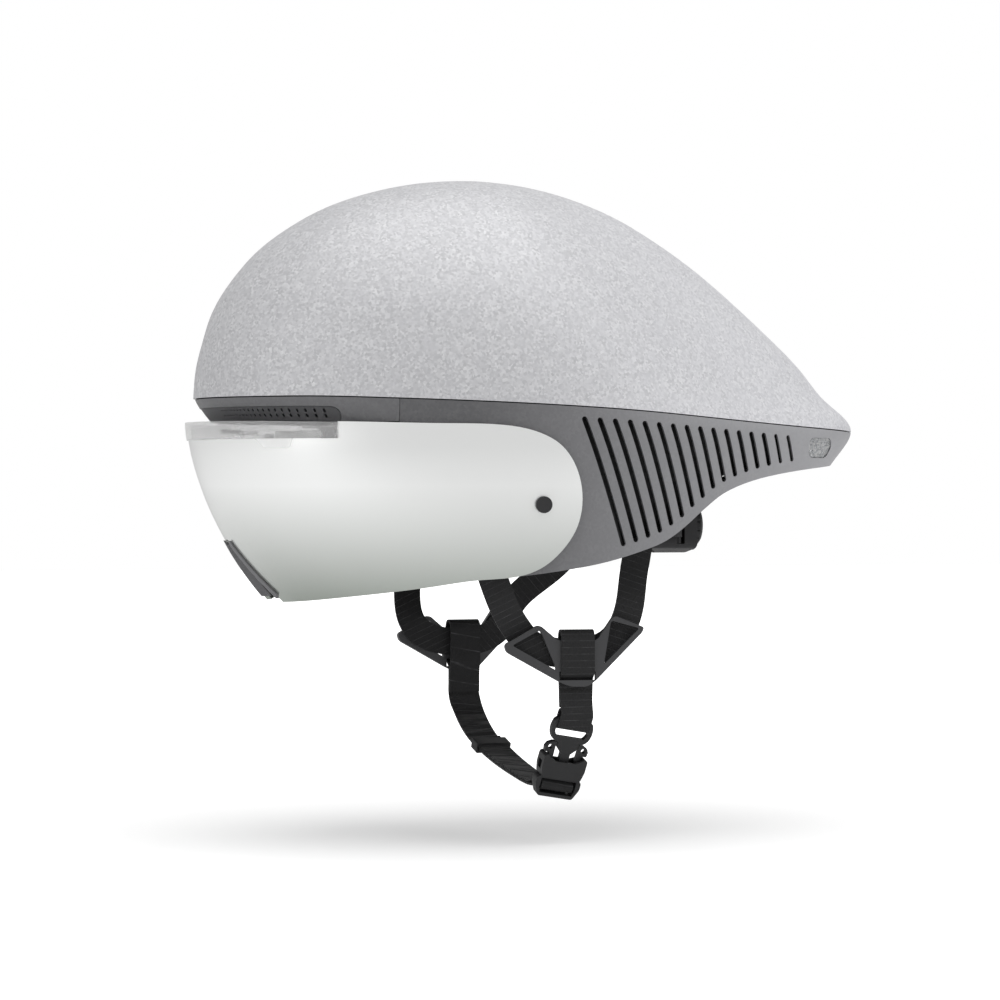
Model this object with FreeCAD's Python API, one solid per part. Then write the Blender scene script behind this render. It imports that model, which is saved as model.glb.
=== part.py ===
"""Short tail time trial helmet with a magnetic wraparound visor, its fit system and its harness.

Frame: millimetres, +Z up, the brow faces -Y, the tail +Y, the wearer's left side is +X.
The origin is the centre of the head's space, level with the top edge of the visor.
"""
import FreeCAD, Part
import math
import os
from FreeCAD import Vector

# Outer form of the helmet
CROWN_HEIGHT = 131.7
CROWN_Y = 6.0
FRONT_LENGTH = 148.0
TAIL_LENGTH = 212.5
HALF_WIDTH = 100.0
WAIST_Z = -14.0
WIDEST_Y = 32.0
SKIRT_BOTTOM_Z = -104.0
TAIL_TAPER = 0.16

# Outline of the brow and of the tail: share of the crown height, share of the length
FRONT_SHAPE = [
    (-0.759, 0.635), (-0.645, 0.73), (-0.44, 0.858), (-0.243, 0.943), (-0.076, 0.988),
    (0.015, 1.0), (0.112, 1.0), (0.171, 0.997), (0.228, 0.992), (0.289, 0.98),
    (0.349, 0.966), (0.407, 0.951), (0.466, 0.931), (0.525, 0.902), (0.582, 0.869),
    (0.678, 0.796), (0.751, 0.726), (0.804, 0.655), (0.854, 0.581), (0.892, 0.509),
    (0.922, 0.439), (0.948, 0.361), (0.97, 0.28), (0.986, 0.193), (0.995, 0.108), (1.0, 0.0),
]
REAR_SHAPE = [
    (-0.759, 0.678), (-0.456, 0.8), (-0.228, 0.904), (-0.152, 0.941), (-0.091, 0.965),
    (-0.023, 0.993), (0.008, 1.0), (0.091, 0.948), (0.182, 0.899), (0.273, 0.847),
    (0.361, 0.791), (0.44, 0.736), (0.516, 0.682), (0.588, 0.628), (0.657, 0.574),
    (0.718, 0.52), (0.774, 0.466), (0.824, 0.414), (0.869, 0.36), (0.904, 0.308),
    (0.934, 0.256), (0.957, 0.204), (0.976, 0.152), (0.989, 0.099), (0.997, 0.047), (1.0, 0.0),
]

# Walls and clearances
SHELL_WALL = 1.8
GAP = 0.3
SEAM_GAP = 0.6
BOND_GAP = 0.1
SHAFT_GAP = 0.05

# Side view lines: Y, Z
SEAM_LINE = [(-170, 15.3), (-100, 15.1), (-52, 13.7), (0, 11.8), (58, 9.0), (132, 4.1), (172, 1.7), (240, -1.6)]
LOWER_EDGE = [
    (-60, -80), (-16, -77), (8.5, -75), (26.5, -72.7), (49, -69), (72, -63.2), (86, -58.6),
    (97, -52.3), (110, -42.3), (122, -34), (135, -28.8), (150, -25.0), (176, -21), (200, -18.6), (240, -15),
]
CHEEK_LINE = [(-54.5, -2.0), (-43, -7), (-34, -19), (-29, -38), (-27, -56), (-22, -69), (-15, -80)]
BROW_BOTTOM = [(-170, 3.9), (-134, 3.5), (-82, 2.5), (-40, 2.1)]

# Brow
PARTING_Y = -54.5
BROW_BEVEL = 8.5
INSERT_TOP_DROP = 4.9
INSERT_END_Y = -81.0
INSERT_RECESS = 0.5
INSERT_CORNER = 6.0
HOLES_PER_ROW = 22
HOLE_ROW_HEIGHTS = (2.5, 5.1)
HOLE_FIRST_TURN = 14.0
HOLE_LAST_Y = -90.0
HOLE_SMALL = 0.45
HOLE_LARGE = 1.25
HOLE_SLANT = 28.0

# Louvres in each side cover
LOUVRE_COUNT = 16
LOUVRE_FIRST_Y = 37.4
LOUVRE_PITCH = 8.32
LOUVRE_WIDTH = 2.9
LOUVRE_NARROW = 2.2
LOUVRE_SLANT = 20.3
LOUVRE_TOP_DROP = 5.2
LOUVRE_EDGE_MARGIN = 5.6
LOUVRE_POCKET_DEPTH = 9.0

# Tail windows
WINDOW_FRONT_Y = 177.5
WINDOW_LENGTH = 15.5
WINDOW_TOP_DROP = 5.0
WINDOW_HEIGHT = 10.6
WINDOW_CORNER = 3.4
WINDOW_RECESS = 0.5
WINDOW_THICKNESS = 1.2

# Head space
HEAD_HALF_WIDTH = 82.0
HEAD_HALF_LENGTH = 111.0
HEAD_TOP = 104.0
HEAD_CENTRE_Y = -3.0
LINER_EDGE_RISE = 3.0
NAPE_HALF_WIDTH = 58.0
NAPE_FRONT_Y = 66.0
NAPE_REAR_Y = 146.0
NAPE_TOP_Z = -24.0
PAD_THICKNESS = 5.0

# Visor
LENS_STANDOFF = 1.5
LENS_THICKNESS = 2.0
LENS_REAR = [
    (-84, 2.2), (-65, 1.8), (-37, 1.2), (-9, 0.7), (6, -1.2), (16, -4.4), (23.5, -8.8),
    (32, -20), (35.7, -33.5), (33.7, -50), (24.4, -64), (16.5, -70.5), (7.5, -74.4),
    (-15.6, -77.1), (-34.7, -79.9), (-62, -84), (-79, -86.4), (-93.5, -88.6), (-130, -92),
]
BRACKET_REAR_Y = -84.3
BRACKET_BOTTOM_Z = -6.2
BRACKET_RISE = 4.3
BRACKET_SHELF = 2.0
BRACKET_SHELF_DEPTH = 12.2
TAB_FRONT_Y = -121.0
TAB_REAR_Y = -106.0
TAB_BOTTOM_Z = -11.0
TAB_THICKNESS = 1.1
MAGNET_FRONT_Y = -123.0
MAGNET_REAR_Y = -98.0
MAGNET_DEPTH = 3.4
MAGNET_SETBACK = 8.2
MAGNET_HEIGHT = 2.4
NOTCH_APEX_Z = -57.5
NOTCH_APEX_HALF = 3.6
NOTCH_FOOT_HALF = 20.0
NOTCH_FOOT_Z = -88.0
STRIP_GRIP = 3.4
STRIP_WEB = 1.1
STRIP_WALL = 1.0
BUTTON_Y = 15.6
BUTTON_Z = -39.0
BUTTON_RADIUS = 4.2
BUTTON_STEM = 2.9
BUTTON_FLANGE = 5.0
SEAT_MAGNET_RADIUS = 5.4
SEAT_MAGNET_DEPTH = 3.6

# Webbing and dividers
WEB_THICKNESS = 1.2
STRAP_WIDTH = 15.0
CHIN_WIDTH = 17.4
DIVIDER_THICKNESS = 3.0
DIVIDER_X = 72.0
DIVIDER_Z = -117.0
LEFT_DIVIDER_Y = 42.3
RIGHT_DIVIDER_Y = 20.7
DIVIDER_YAW = 5.0
DIVIDER_SLOT_HEIGHT = 4.4

# Side release buckle, measured from the plug's bar down its own axis
BUCKLE_BAR = (68.3, 41.6, -150.8)
BUCKLE_FOOT = (59.0, 34.8, -183.6)
BUCKLE_FACE = (0.995, 0.1, 0.0)
PLUG_HALF_WIDTH = 11.4
PLUG_HALF_THICKNESS = 1.6
PLUG_BAR_HALF = 1.9
PLUG_WINDOW_END = 8.2
PLUG_FRAME_END = 10.8
ARM_ROOT = 11.0
SOCKET_START = 17.6
SOCKET_LENGTH = 12.2
SOCKET_HALF_WIDTH = 12.0
SOCKET_HALF_THICKNESS = 4.4
SOCKET_WALL = 1.6
LADDER_LENGTH = 10.8
LADDER_HALF_WIDTH = 12.4
LADDER_HALF_THICKNESS = 3.0

# Fit dial and bands
DIAL_Z = -50.5
DIAL_RADIUS = 13.4
DIAL_DEPTH = 12.6
YOKE_HALF_WIDTH = 70.0
YOKE_HALF_LENGTH = 103.0
YOKE_WALL = 2.4
YOKE_TURN = 35.0
YOKE_TOP_Z = -30.0
YOKE_BOTTOM_Z = -62.0
HOUSING_HALF_WIDTH = 34.0
HOUSING_TOP_Z = -36.0
HOUSING_BOTTOM_Z = -65.2
BAND_PLATE = 1.5
BAND_HEIGHT = 19.0
ARM_HEIGHT = 12.0
GEAR_MODULE = 1.0
PINION_TEETH = 12
SHAFT_RADIUS = 3.2


def smooth(points):
    """A smooth curve through points, flat where the points turn back."""
    xs = [p[0] for p in points]
    ys = [p[1] for p in points]
    steps = [b - a for a, b in zip(xs, xs[1:])]
    slopes = [(b - a) / h for a, b, h in zip(ys, ys[1:], steps)]
    tangents = [slopes[0]]
    for i in range(1, len(xs) - 1):
        before, after = slopes[i - 1], slopes[i]
        if before * after <= 0:
            tangents.append(0.0)
            continue
        w1 = 2 * steps[i] + steps[i - 1]
        w2 = steps[i] + 2 * steps[i - 1]
        tangents.append((w1 + w2) / (w1 / before + w2 / after))
    tangents.append(slopes[-1])

    def value(x):
        if x <= xs[0]:
            return ys[0] + tangents[0] * (x - xs[0])
        if x >= xs[-1]:
            return ys[-1] + tangents[-1] * (x - xs[-1])
        i = max(k for k in range(len(xs) - 1) if xs[k] <= x)
        t = (x - xs[i]) / steps[i]
        return (
            ys[i] * (1 + 2 * t) * (1 - t) ** 2
            + tangents[i] * steps[i] * t * (1 - t) ** 2
            + ys[i + 1] * t * t * (3 - 2 * t)
            + tangents[i + 1] * steps[i] * t * t * (t - 1)
        )

    return value


front_share = smooth(FRONT_SHAPE)
rear_share = smooth(REAR_SHAPE)
seam_z = smooth(SEAM_LINE)
lower_edge_z = smooth(LOWER_EDGE)
brow_bottom_z = smooth(BROW_BOTTOM)


def front_y(z):
    return CROWN_Y - FRONT_LENGTH * front_share(z / CROWN_HEIGHT)


def rear_y(z):
    return CROWN_Y + TAIL_LENGTH * rear_share(z / CROWN_HEIGHT)


def half_width(z):
    if z >= WAIST_Z:
        share = min(1.0, (z - WAIST_Z) / (CROWN_HEIGHT - WAIST_Z))
        return HALF_WIDTH * (1 - share * share) ** 0.48
    drop = WAIST_Z - z
    return HALF_WIDTH - 0.035 * drop - 0.0009 * drop * drop


def outer_point(z, turn):
    """A point of the outer form at height z. turn runs from 0 at the tail to pi at the brow, on +X."""
    front, rear = front_y(z), rear_y(z)
    middle_share = (WIDEST_Y - front_y(0)) / (rear_y(0) - front_y(0))
    middle = front + (rear - front) * middle_share
    c, s = math.cos(turn), math.sin(turn)
    width = half_width(z) * s
    if c > 0:
        return Vector(width * (1 - TAIL_TAPER * math.sin(math.pi * c * c)), middle + (rear - middle) * c, z)
    return Vector(width, middle + (middle - front) * c, z)


def head_point(z, turn):
    """A point of the head's space at height z."""
    share = math.sqrt(max(0.0, 1 - (max(z, 0.0) / HEAD_TOP) ** 2))
    return Vector(
        HEAD_HALF_WIDTH * share * math.sin(turn),
        HEAD_CENTRE_Y + HEAD_HALF_LENGTH * share * math.cos(turn),
        z,
    )


def risen(form, z, turn, rise):
    """The point of a form at z and turn, moved out along the form's normal by rise."""
    here = form(z, turn)
    if abs(rise) < 1e-9:
        return here
    up = form(z + 0.4, turn) - form(z - 0.4, turn)
    across = form(z, turn + 0.004) - form(z, turn - 0.004)
    normal = up.cross(across)
    normal.normalize()
    if normal.dot(Vector(here.x, here.y - 0.1 * here.y, 0.0)) < 0:
        normal = normal * -1
    return here + normal * rise


def skin_normal(z, turn):
    normal = risen(outer_point, z, turn, 1.0) - outer_point(z, turn)
    normal.normalize()
    return normal


def turn_at(y, z):
    """The turn where the outer form passes y at height z."""
    low, high = 0.0, math.pi
    for _ in range(50):
        middle = (low + high) / 2
        if outer_point(z, middle).y > y:
            low = middle
        else:
            high = middle
    return (low + high) / 2


def side_point(y, z, rise=0.0):
    """The point of the left side at y and z, and the normal there."""
    turn = turn_at(y, z)
    return risen(outer_point, z, turn, rise), skin_normal(z, turn)


def dome_level(height, waist, bottom, angle):
    if angle <= 90:
        return waist + (height - waist) * math.cos(math.radians(angle))
    return waist - (waist - bottom) * (angle - 90) / 35.0


LEVEL_ANGLES = [0, 6, 12, 18, 24, 30, 36, 42, 48, 54, 60, 66, 72, 78, 84, 90, 97, 104, 111, 118, 125]
AROUND = 48
OVERLAP = 4


def closed_form(form, height, waist, bottom, rise):
    """A solid bounded by a form moved by rise, from its crown down to a closing face at the bottom."""
    rows = []
    for angle in LEVEL_ANGLES:
        z = dome_level(height, waist, bottom, angle)
        row = []
        for k in range(-OVERLAP, AROUND + OVERLAP + 1):
            turn = 2 * math.pi * k / AROUND
            if angle == 0:
                row.append(form(height, 0.0) + Vector(0, 0, rise))
            else:
                row.append(risen(form, z, turn, rise))
        rows.append(row)
    surface = Part.BSplineSurface()
    surface.interpolate(rows)
    across = surface.getVKnots()
    down = surface.getUKnots()
    surface.segment(down[0], down[-1], across[OVERLAP], across[OVERLAP + AROUND])
    side = surface.toShape()
    rims = []
    for edge in side.Edges:
        if edge.Degenerated:
            continue
        first, last = edge.valueAt(edge.FirstParameter), edge.valueAt(edge.LastParameter)
        if abs(first.z - last.z) < 1.0 and abs(first.z - bottom) < 10.0:
            rims.append(edge)
    cap = Part.makeFilledFace(rims)
    return right_way_out(Part.Solid(Part.Shell([side, cap])))


def right_way_out(solid):
    if solid.Volume < 0:
        solid.reverse()
    return solid


def skin_solid(rise):
    return closed_form(outer_point, CROWN_HEIGHT, WAIST_Z, SKIRT_BOTTOM_Z, rise)


def spread(first, last, count):
    return [first + (last - first) * i / (count - 1) for i in range(count)]


def patch_surface(form, heights, turns, rise):
    """rise is a number, or a function of the point's y and z."""
    rows = []
    for z in heights:
        row = []
        for turn in turns:
            here = form(z, turn)
            out = rise(here.y, here.z) if callable(rise) else rise
            row.append(risen(form, z, turn, out))
        rows.append(row)
    surface = Part.BSplineSurface()
    surface.interpolate(rows)
    return surface


def thick_patch(form, heights, turns, low_rise, high_rise):
    """The solid between two surfaces that lie over the same part of a form."""
    outer = patch_surface(form, heights, turns, high_rise)
    inner = patch_surface(form, heights, turns, low_rise)
    faces = [outer.toShape(), inner.toShape()]
    u0, u1, v0, v1 = outer.bounds()
    a0, a1, b0, b1 = inner.bounds()
    pairs = [
        (outer.uIso(u0), inner.uIso(a0)),
        (outer.uIso(u1), inner.uIso(a1)),
        (outer.vIso(v0), inner.vIso(b0)),
        (outer.vIso(v1), inner.vIso(b1)),
    ]
    for one, two in pairs:
        faces.append(Part.makeRuledSurface(one.toShape(), two.toShape()))
    shell = Part.Shell(faces)
    shell.sewShape()
    return right_way_out(Part.Solid(shell))


FRONT_TURNS = [math.radians(a) for a in spread(74, 286, 45)]


def front_patch(low_z, high_z, low_rise, high_rise):
    """A patch of the outer form round the brow and the face, from one temple to the other."""
    heights = spread(low_z, high_z, max(3, int(abs(high_z - low_z) / 8) + 2))
    return thick_patch(outer_point, heights, FRONT_TURNS, low_rise, high_rise)


def wire_of(pieces):
    """A closed wire of polylines and smooth curves that follow on from each other."""
    edges = []
    for kind, points in pieces:
        vectors = [Vector(*p) for p in points]
        if kind == "curve":
            curve = Part.BSplineCurve()
            curve.interpolate(vectors)
            edges.append(curve.toShape())
        else:
            for a, b in zip(vectors, vectors[1:]):
                edges.append(Part.LineSegment(a, b).toShape())
    return Part.Wire(edges)


def side_prism(pieces, low_x=-130.0, high_x=130.0):
    """A prism along X over an outline of Y and Z points."""
    placed = [(kind, [(low_x, y, z) for y, z in points]) for kind, points in pieces]
    return Part.Face(wire_of(placed)).extrude(Vector(high_x - low_x, 0, 0))


def polygon_prism(points, along):
    wire = Part.makePolygon([Vector(*p) for p in points + points[:1]])
    return Part.Face(wire).extrude(Vector(*along))


def curve_points(value, low, high, count, shift=0.0):
    return [(y, value(y) + shift) for y in spread(low, high, count)]


def mirrored(shape):
    return shape.mirror(Vector(0, 0, 0), Vector(1, 0, 0))


def box(low, high):
    low, high = Vector(*low), Vector(*high)
    size = high - low
    return Part.makeBox(size.x, size.y, size.z, low)


def joined(shapes):
    whole = shapes[0]
    for shape in shapes[1:]:
        whole = whole.fuse(shape)
    return whole.removeSplitter()


def without(shape, cutters):
    """Shape less every cutter, taken one after another so that cutters may meet."""
    for cutter in cutters:
        shape = shape.cut(cutter)
    return shape


nodes = {}


def keep(name, shape):
    """Store a node as its separate solids."""
    solids = [s for s in shape.Solids if s.Volume > 0.5]
    nodes[name] = Part.makeCompound(solids)


class Frame:
    """A local frame: width, height and normal directions about a centre."""

    def __init__(self, centre, width, height, normal):
        self.centre, self.width, self.height, self.normal = centre, width, height, normal

    def at(self, w, h, n=0.0):
        return self.centre + self.width * w + self.height * h + self.normal * n

    def prism(self, outline, low_n, high_n):
        points = [self.at(w, h, low_n) for w, h in outline]
        face = Part.Face(Part.makePolygon(points + points[:1]))
        return face.extrude(self.normal * (high_n - low_n))

    def block(self, low, high):
        outline = [(low[0], low[1]), (high[0], low[1]), (high[0], high[1]), (low[0], high[1])]
        return self.prism(outline, low[2], high[2])

    def cylinder(self, w, h, radius, low_n, high_n):
        return Part.makeCylinder(radius, high_n - low_n, self.at(w, h, low_n), self.normal)


def rounded_polygon(points, radius, steps=5):
    """The outline with each corner rounded, as a list of points."""
    result = []
    count = len(points)
    for i in range(count):
        here = points[i]
        before, after = points[i - 1], points[(i + 1) % count]
        a = (before[0] - here[0], before[1] - here[1])
        b = (after[0] - here[0], after[1] - here[1])
        la, lb = math.hypot(*a), math.hypot(*b)
        cut = min(radius, 0.42 * la, 0.42 * lb)
        start = (here[0] + a[0] / la * cut, here[1] + a[1] / la * cut)
        end = (here[0] + b[0] / lb * cut, here[1] + b[1] / lb * cut)
        for k in range(steps + 1):
            t = k / steps
            result.append((
                (1 - t) ** 2 * start[0] + 2 * t * (1 - t) * here[0] + t * t * end[0],
                (1 - t) ** 2 * start[1] + 2 * t * (1 - t) * here[1] + t * t * end[1],
            ))
    return result


RIBBON_SPAN = 8


def ribbon(points, normals, width, thickness):
    """A flat strap along a smooth line through points. Each normal points out of the strap's face."""
    count = len(points)
    corners = {(1, 1): [], (1, -1): [], (-1, -1): [], (-1, 1): []}
    for i in range(count):
        ahead = points[min(i + 1, count - 1)]
        behind = points[max(i - 1, 0)]
        tangent = ahead - behind
        tangent.normalize()
        normal = normals[i] - tangent * normals[i].dot(tangent)
        normal.normalize()
        side = tangent.cross(normal)
        for across, up in corners:
            offset = side * (across * width / 2) + normal * (up * thickness / 2)
            corners[(across, up)].append(points[i] + offset)
    reached = [0.0]
    for before, after in zip(points, points[1:]):
        reached.append(reached[-1] + (after - before).Length)
    curves = {}
    for key, line in corners.items():
        curve = Part.BSplineCurve()
        curve.interpolate(Points=line, Parameters=reached)
        curves[key] = curve
    order = [(1, 1), (1, -1), (-1, -1), (-1, 1)]
    faces = []
    stops = list(range(0, count - 1, RIBBON_SPAN)) + [count - 1]
    for start, stop in zip(stops, stops[1:]):
        for a, b in zip(order, order[1:] + order[:1]):
            one = curves[a].toShape(reached[start], reached[stop])
            two = curves[b].toShape(reached[start], reached[stop])
            faces.append(Part.makeRuledSurface(one, two))
    for end in (0, -1):
        ring = [corners[key][end] for key in order]
        faces.append(Part.Face(Part.makePolygon(ring + ring[:1])))
    shell = Part.Shell(faces)
    shell.sewShape()
    return right_way_out(Part.Solid(shell))


def folded_ribbon(points, normals, width, thickness):
    """A flat strap with tight folds, as straight sections joined one after another."""
    sections = []
    last = len(points) - 1
    for i, point in enumerate(points):
        tangent = points[min(i + 1, last)] - points[max(i - 1, 0)]
        tangent.normalize()
        normal = normals[i] - tangent * normals[i].dot(tangent)
        normal.normalize()
        across = tangent.cross(normal) * (width / 2)
        up = normal * (thickness / 2)
        ring = [point + across + up, point + across - up, point - across - up, point - across + up]
        sections.append(Part.makePolygon(ring + ring[:1]))
    return right_way_out(Part.makeLoft(sections, True, True))


def through(points, count):
    """Evenly numbered points on the smooth line through a few points."""
    curve = Part.BSplineCurve()
    curve.interpolate([Vector(*p) for p in points])
    first, last = curve.FirstParameter, curve.LastParameter
    return [curve.value(first + (last - first) * i / (count - 1)) for i in range(count)]


# The hard outer pieces
outer_solid = skin_solid(0.0)
inner_solid = skin_solid(-SHELL_WALL)
hard_skin = outer_solid.cut(inner_solid)

far = 260.0
above_seam = side_prism([
    ("curve", curve_points(seam_z, -168, 238, 24, SEAM_GAP / 2)),
    ("line", [(238, seam_z(238) + SEAM_GAP / 2), (238, far), (-168, far), (-168, seam_z(-168) + SEAM_GAP / 2)]),
])
keep("upper_shell", hard_skin.common(above_seam))


def louvre_line(index):
    """Top and bottom centre points of one louvre, as Y and Z."""
    slant = math.radians(LOUVRE_SLANT)
    top_y = LOUVRE_FIRST_Y + LOUVRE_PITCH * index
    top = (top_y, seam_z(top_y) - LOUVRE_TOP_DROP)
    y, z = top
    while True:
        edge_slope = (lower_edge_z(y + 1) - lower_edge_z(y - 1)) / 2
        if z - lower_edge_z(y) < LOUVRE_EDGE_MARGIN * math.hypot(1, edge_slope):
            return top, (y, z)
        y += 0.2 * math.sin(slant)
        z -= 0.2 * math.cos(slant)


def slot_prism(top, bottom, width, low_x, high_x):
    """A round ended slot through the side, between two Y and Z points."""
    along = Vector(0, bottom[0] - top[0], bottom[1] - top[1])
    along.normalize()
    aside = Vector(0, -along.z, along.y) * (width / 2)
    a = Vector(low_x, top[0], top[1]) + along * (width / 2)
    b = Vector(low_x, bottom[0], bottom[1]) - along * (width / 2)
    edges = [
        Part.LineSegment(a + aside, b + aside).toShape(),
        Part.Arc(b + aside, b + along * (width / 2), b - aside).toShape(),
        Part.LineSegment(b - aside, a - aside).toShape(),
        Part.Arc(a - aside, a - along * (width / 2), a + aside).toShape(),
    ]
    return Part.Face(Part.Wire(edges)).extrude(Vector(high_x - low_x, 0, 0))


def window_outline(shrink):
    top = seam_z(WINDOW_FRONT_Y + WINDOW_LENGTH / 2) - WINDOW_TOP_DROP - shrink
    bottom = top - WINDOW_HEIGHT + 2 * shrink
    front, rear = WINDOW_FRONT_Y + shrink, WINDOW_FRONT_Y + WINDOW_LENGTH - shrink
    corners = [(front, top), (rear, top), (rear + 1.6, top - 4.6), (rear - 1.0, bottom), (front + 0.8, bottom)]
    return rounded_polygon(corners, WINDOW_CORNER)


def window_prism(shrink):
    points = [(8.0, y, z) for y, z in window_outline(shrink)]
    return polygon_prism(points, (110.0, 0, 0))


cheek_low = CHEEK_LINE[-1]
side_region = side_prism([
    ("curve", curve_points(seam_z, PARTING_Y + GAP / 2, 238, 20, -SEAM_GAP / 2)),
    ("line", [(238, seam_z(238) - SEAM_GAP / 2), (238, lower_edge_z(238))]),
    ("curve", list(reversed(curve_points(lower_edge_z, cheek_low[0], 238, 40)))),
    ("curve", [(cheek_low[0], lower_edge_z(cheek_low[0]))] + list(reversed(CHEEK_LINE[:-1]))),
    ("line", [CHEEK_LINE[0], (PARTING_Y + GAP / 2, seam_z(PARTING_Y + GAP / 2) - SEAM_GAP / 2)]),
], low_x=GAP / 2)
louvres = []
for index in range(LOUVRE_COUNT):
    width = LOUVRE_NARROW if index >= LOUVRE_COUNT - 2 else LOUVRE_WIDTH
    top, bottom = louvre_line(index)
    louvres.append(slot_prism(top, bottom, width, 20.0, 130.0))
seat_point, seat_normal = side_point(BUTTON_Y, BUTTON_Z)
seat_hole = Part.makeCylinder(
    SEAT_MAGNET_RADIUS + BOND_GAP, 3 * SHELL_WALL, seat_point - seat_normal * (2 * SHELL_WALL), seat_normal
)
side_cover = hard_skin.common(side_region)
side_cover = side_cover.cut(Part.makeCompound(louvres))
side_cover = without(side_cover, [window_prism(0.0), seat_hole])
keep("side_cover_left", side_cover)
keep("side_cover_right", mirrored(side_cover))

window_skin = skin_solid(-WINDOW_RECESS).cut(skin_solid(-WINDOW_RECESS - WINDOW_THICKNESS))
tail_window = window_skin.common(window_prism(BOND_GAP))
keep("tail_window_left", tail_window)
keep("tail_window_right", mirrored(tail_window))

# The brow: a bevelled band with its perforated insert
def bevel(y, z):
    """How far the brow's face stands back from the outer form."""
    down = max(0.0, seam_z(y) - z) / (seam_z(y) - brow_bottom_z(y))
    forward = min(1.0, max(0.0, (PARTING_Y - y) / (PARTING_Y - front_y(0.0))))
    return BROW_BEVEL * down * forward ** 0.8


brow_low, brow_high = -2.0, 24.0
brow_patch = front_patch(
    brow_low, brow_high,
    lambda y, z: -bevel(y, z) - SHELL_WALL,
    lambda y, z: -bevel(y, z),
)
brow_rear = PARTING_Y - GAP / 2
brow_region = side_prism([
    ("curve", curve_points(seam_z, -168, brow_rear, 12, -SEAM_GAP / 2)),
    ("line", [(brow_rear, seam_z(brow_rear) - SEAM_GAP / 2), (brow_rear, brow_bottom_z(brow_rear))]),
    ("curve", list(reversed(curve_points(brow_bottom_z, -168, brow_rear, 12)))),
    ("line", [(-168, brow_bottom_z(-168)), (-168, seam_z(-168) - SEAM_GAP / 2)]),
])


def insert_prism(shrink):
    rear = INSERT_END_Y - shrink
    low = -20.0 if shrink == 0 else brow_bottom_z(rear)
    top_start = rear - INSERT_CORNER
    top = curve_points(seam_z, -168, top_start, 12, -INSERT_TOP_DROP - shrink)
    corner_z = seam_z(top_start) - INSERT_TOP_DROP - shrink
    corner = [(top_start, corner_z), (rear - 1.5, corner_z - 1.9), (rear, corner_z - 5.4)]
    return side_prism([
        ("curve", top),
        ("curve", corner),
        ("line", [corner[-1], (rear, low - 20), (-168, low - 20), top[0]]),
    ])


brow_band = brow_patch.common(brow_region).cut(insert_prism(0.0))
keep("brow_band", brow_band)
insert_patch = front_patch(
    brow_low, brow_high,
    lambda y, z: -bevel(y, z) - SHELL_WALL,
    lambda y, z: -bevel(y, z) - INSERT_RECESS,
)
insert = insert_patch.common(brow_region).common(insert_prism(0.15))


def brow_hole(y_turn, height, size):
    """A slanted oval hole through the insert at a turn and a height over its bottom edge."""
    place = outer_point(0.0, y_turn)
    z = brow_bottom_z(place.y) + height
    normal = skin_normal(z, y_turn)
    centre = risen(outer_point, z, y_turn, -bevel(place.y, z) - SHELL_WALL)
    aside = Vector(0, 0, 1).cross(normal)
    slant = math.radians(HOLE_SLANT)
    along = Vector(0, 0, 1) * math.cos(slant) - aside * math.sin(slant)
    along = along - normal * along.dot(normal)
    along.normalize()
    across = normal.cross(along) * (size / 2)
    reach = along * (size * 0.35)
    cap = along * (size / 2)
    base = centre - normal * 3.0
    a, b = base + reach, base - reach
    edges = [
        Part.LineSegment(a + across, b + across).toShape(),
        Part.Arc(b + across, b - cap, b - across).toShape(),
        Part.LineSegment(b - across, a - across).toShape(),
        Part.Arc(a - across, a + cap, a + across).toShape(),
    ]
    return Part.Face(Part.Wire(edges)).extrude(normal * 9.0)


last_turn = turn_at(HOLE_LAST_Y, 6.0)
first_turn = math.pi - math.radians(HOLE_FIRST_TURN)
holes = []
for index in range(HOLES_PER_ROW):
    share = index / (HOLES_PER_ROW - 1)
    turn = first_turn + (last_turn - first_turn) * (0.55 * share + 0.45 * share * share)
    size = HOLE_SMALL + (HOLE_LARGE - HOLE_SMALL) * share
    for height in HOLE_ROW_HEIGHTS:
        hole = brow_hole(turn, height, size)
        holes.append(hole)
        holes.append(mirrored(hole))
insert = insert.cut(Part.makeCompound(holes))
keep("brow_insert", insert)

# The foam liner
LINER_RISE = -SHELL_WALL - GAP
head_space = closed_form(head_point, HEAD_TOP, 0.0, SKIRT_BOTTOM_Z - 10, 0.0)
liner = skin_solid(LINER_RISE).cut(head_space)
under_edge = side_prism([
    ("curve", curve_points(lower_edge_z, -170, 238, 50, LINER_EDGE_RISE)),
    ("line", [(238, lower_edge_z(238) + LINER_EDGE_RISE), (238, -far), (-170, -far),
              (-170, lower_edge_z(-170) + LINER_EDGE_RISE)]),
])
cheek_back = [(y + LINER_EDGE_RISE, z) for y, z in CHEEK_LINE]
brow_foot = brow_bottom_z(-60) + GAP
face_cut = side_prism([
    ("line", [(-170, brow_bottom_z(-140) + 2 * GAP), (-100, brow_bottom_z(-100) + 2 * GAP), (-60, brow_foot),
              cheek_back[0]]),
    ("curve", cheek_back),
    ("line", [cheek_back[-1], (cheek_back[-1][0], -far), (-170, -far), (-170, brow_bottom_z(-140) + 2 * GAP)]),
])
brow_clearance = front_patch(
    -8.0, 40.0,
    lambda y, z: -bevel(y, z) - SHELL_WALL - GAP,
    6.0,
)
brow_zone = side_prism([("line", [(-170, 40), (PARTING_Y, 40), (PARTING_Y, -20), (-170, -20), (-170, 40)])])
nape = box((-NAPE_HALF_WIDTH, NAPE_FRONT_Y, -200), (NAPE_HALF_WIDTH, NAPE_REAR_Y, NAPE_TOP_Z))
pocket_outline = []
for index in range(LOUVRE_COUNT):
    top, bottom = louvre_line(index)
    pocket_outline.append((top, bottom))
tops = [(p[0][0] - 1.0, p[0][1] - 0.2) for p in pocket_outline]
bottoms = [(p[1][0], p[1][1] + 1.2) for p in pocket_outline]
pocket_region = side_prism([("line", tops + list(reversed(bottoms)) + tops[:1])], low_x=18.0)
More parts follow.
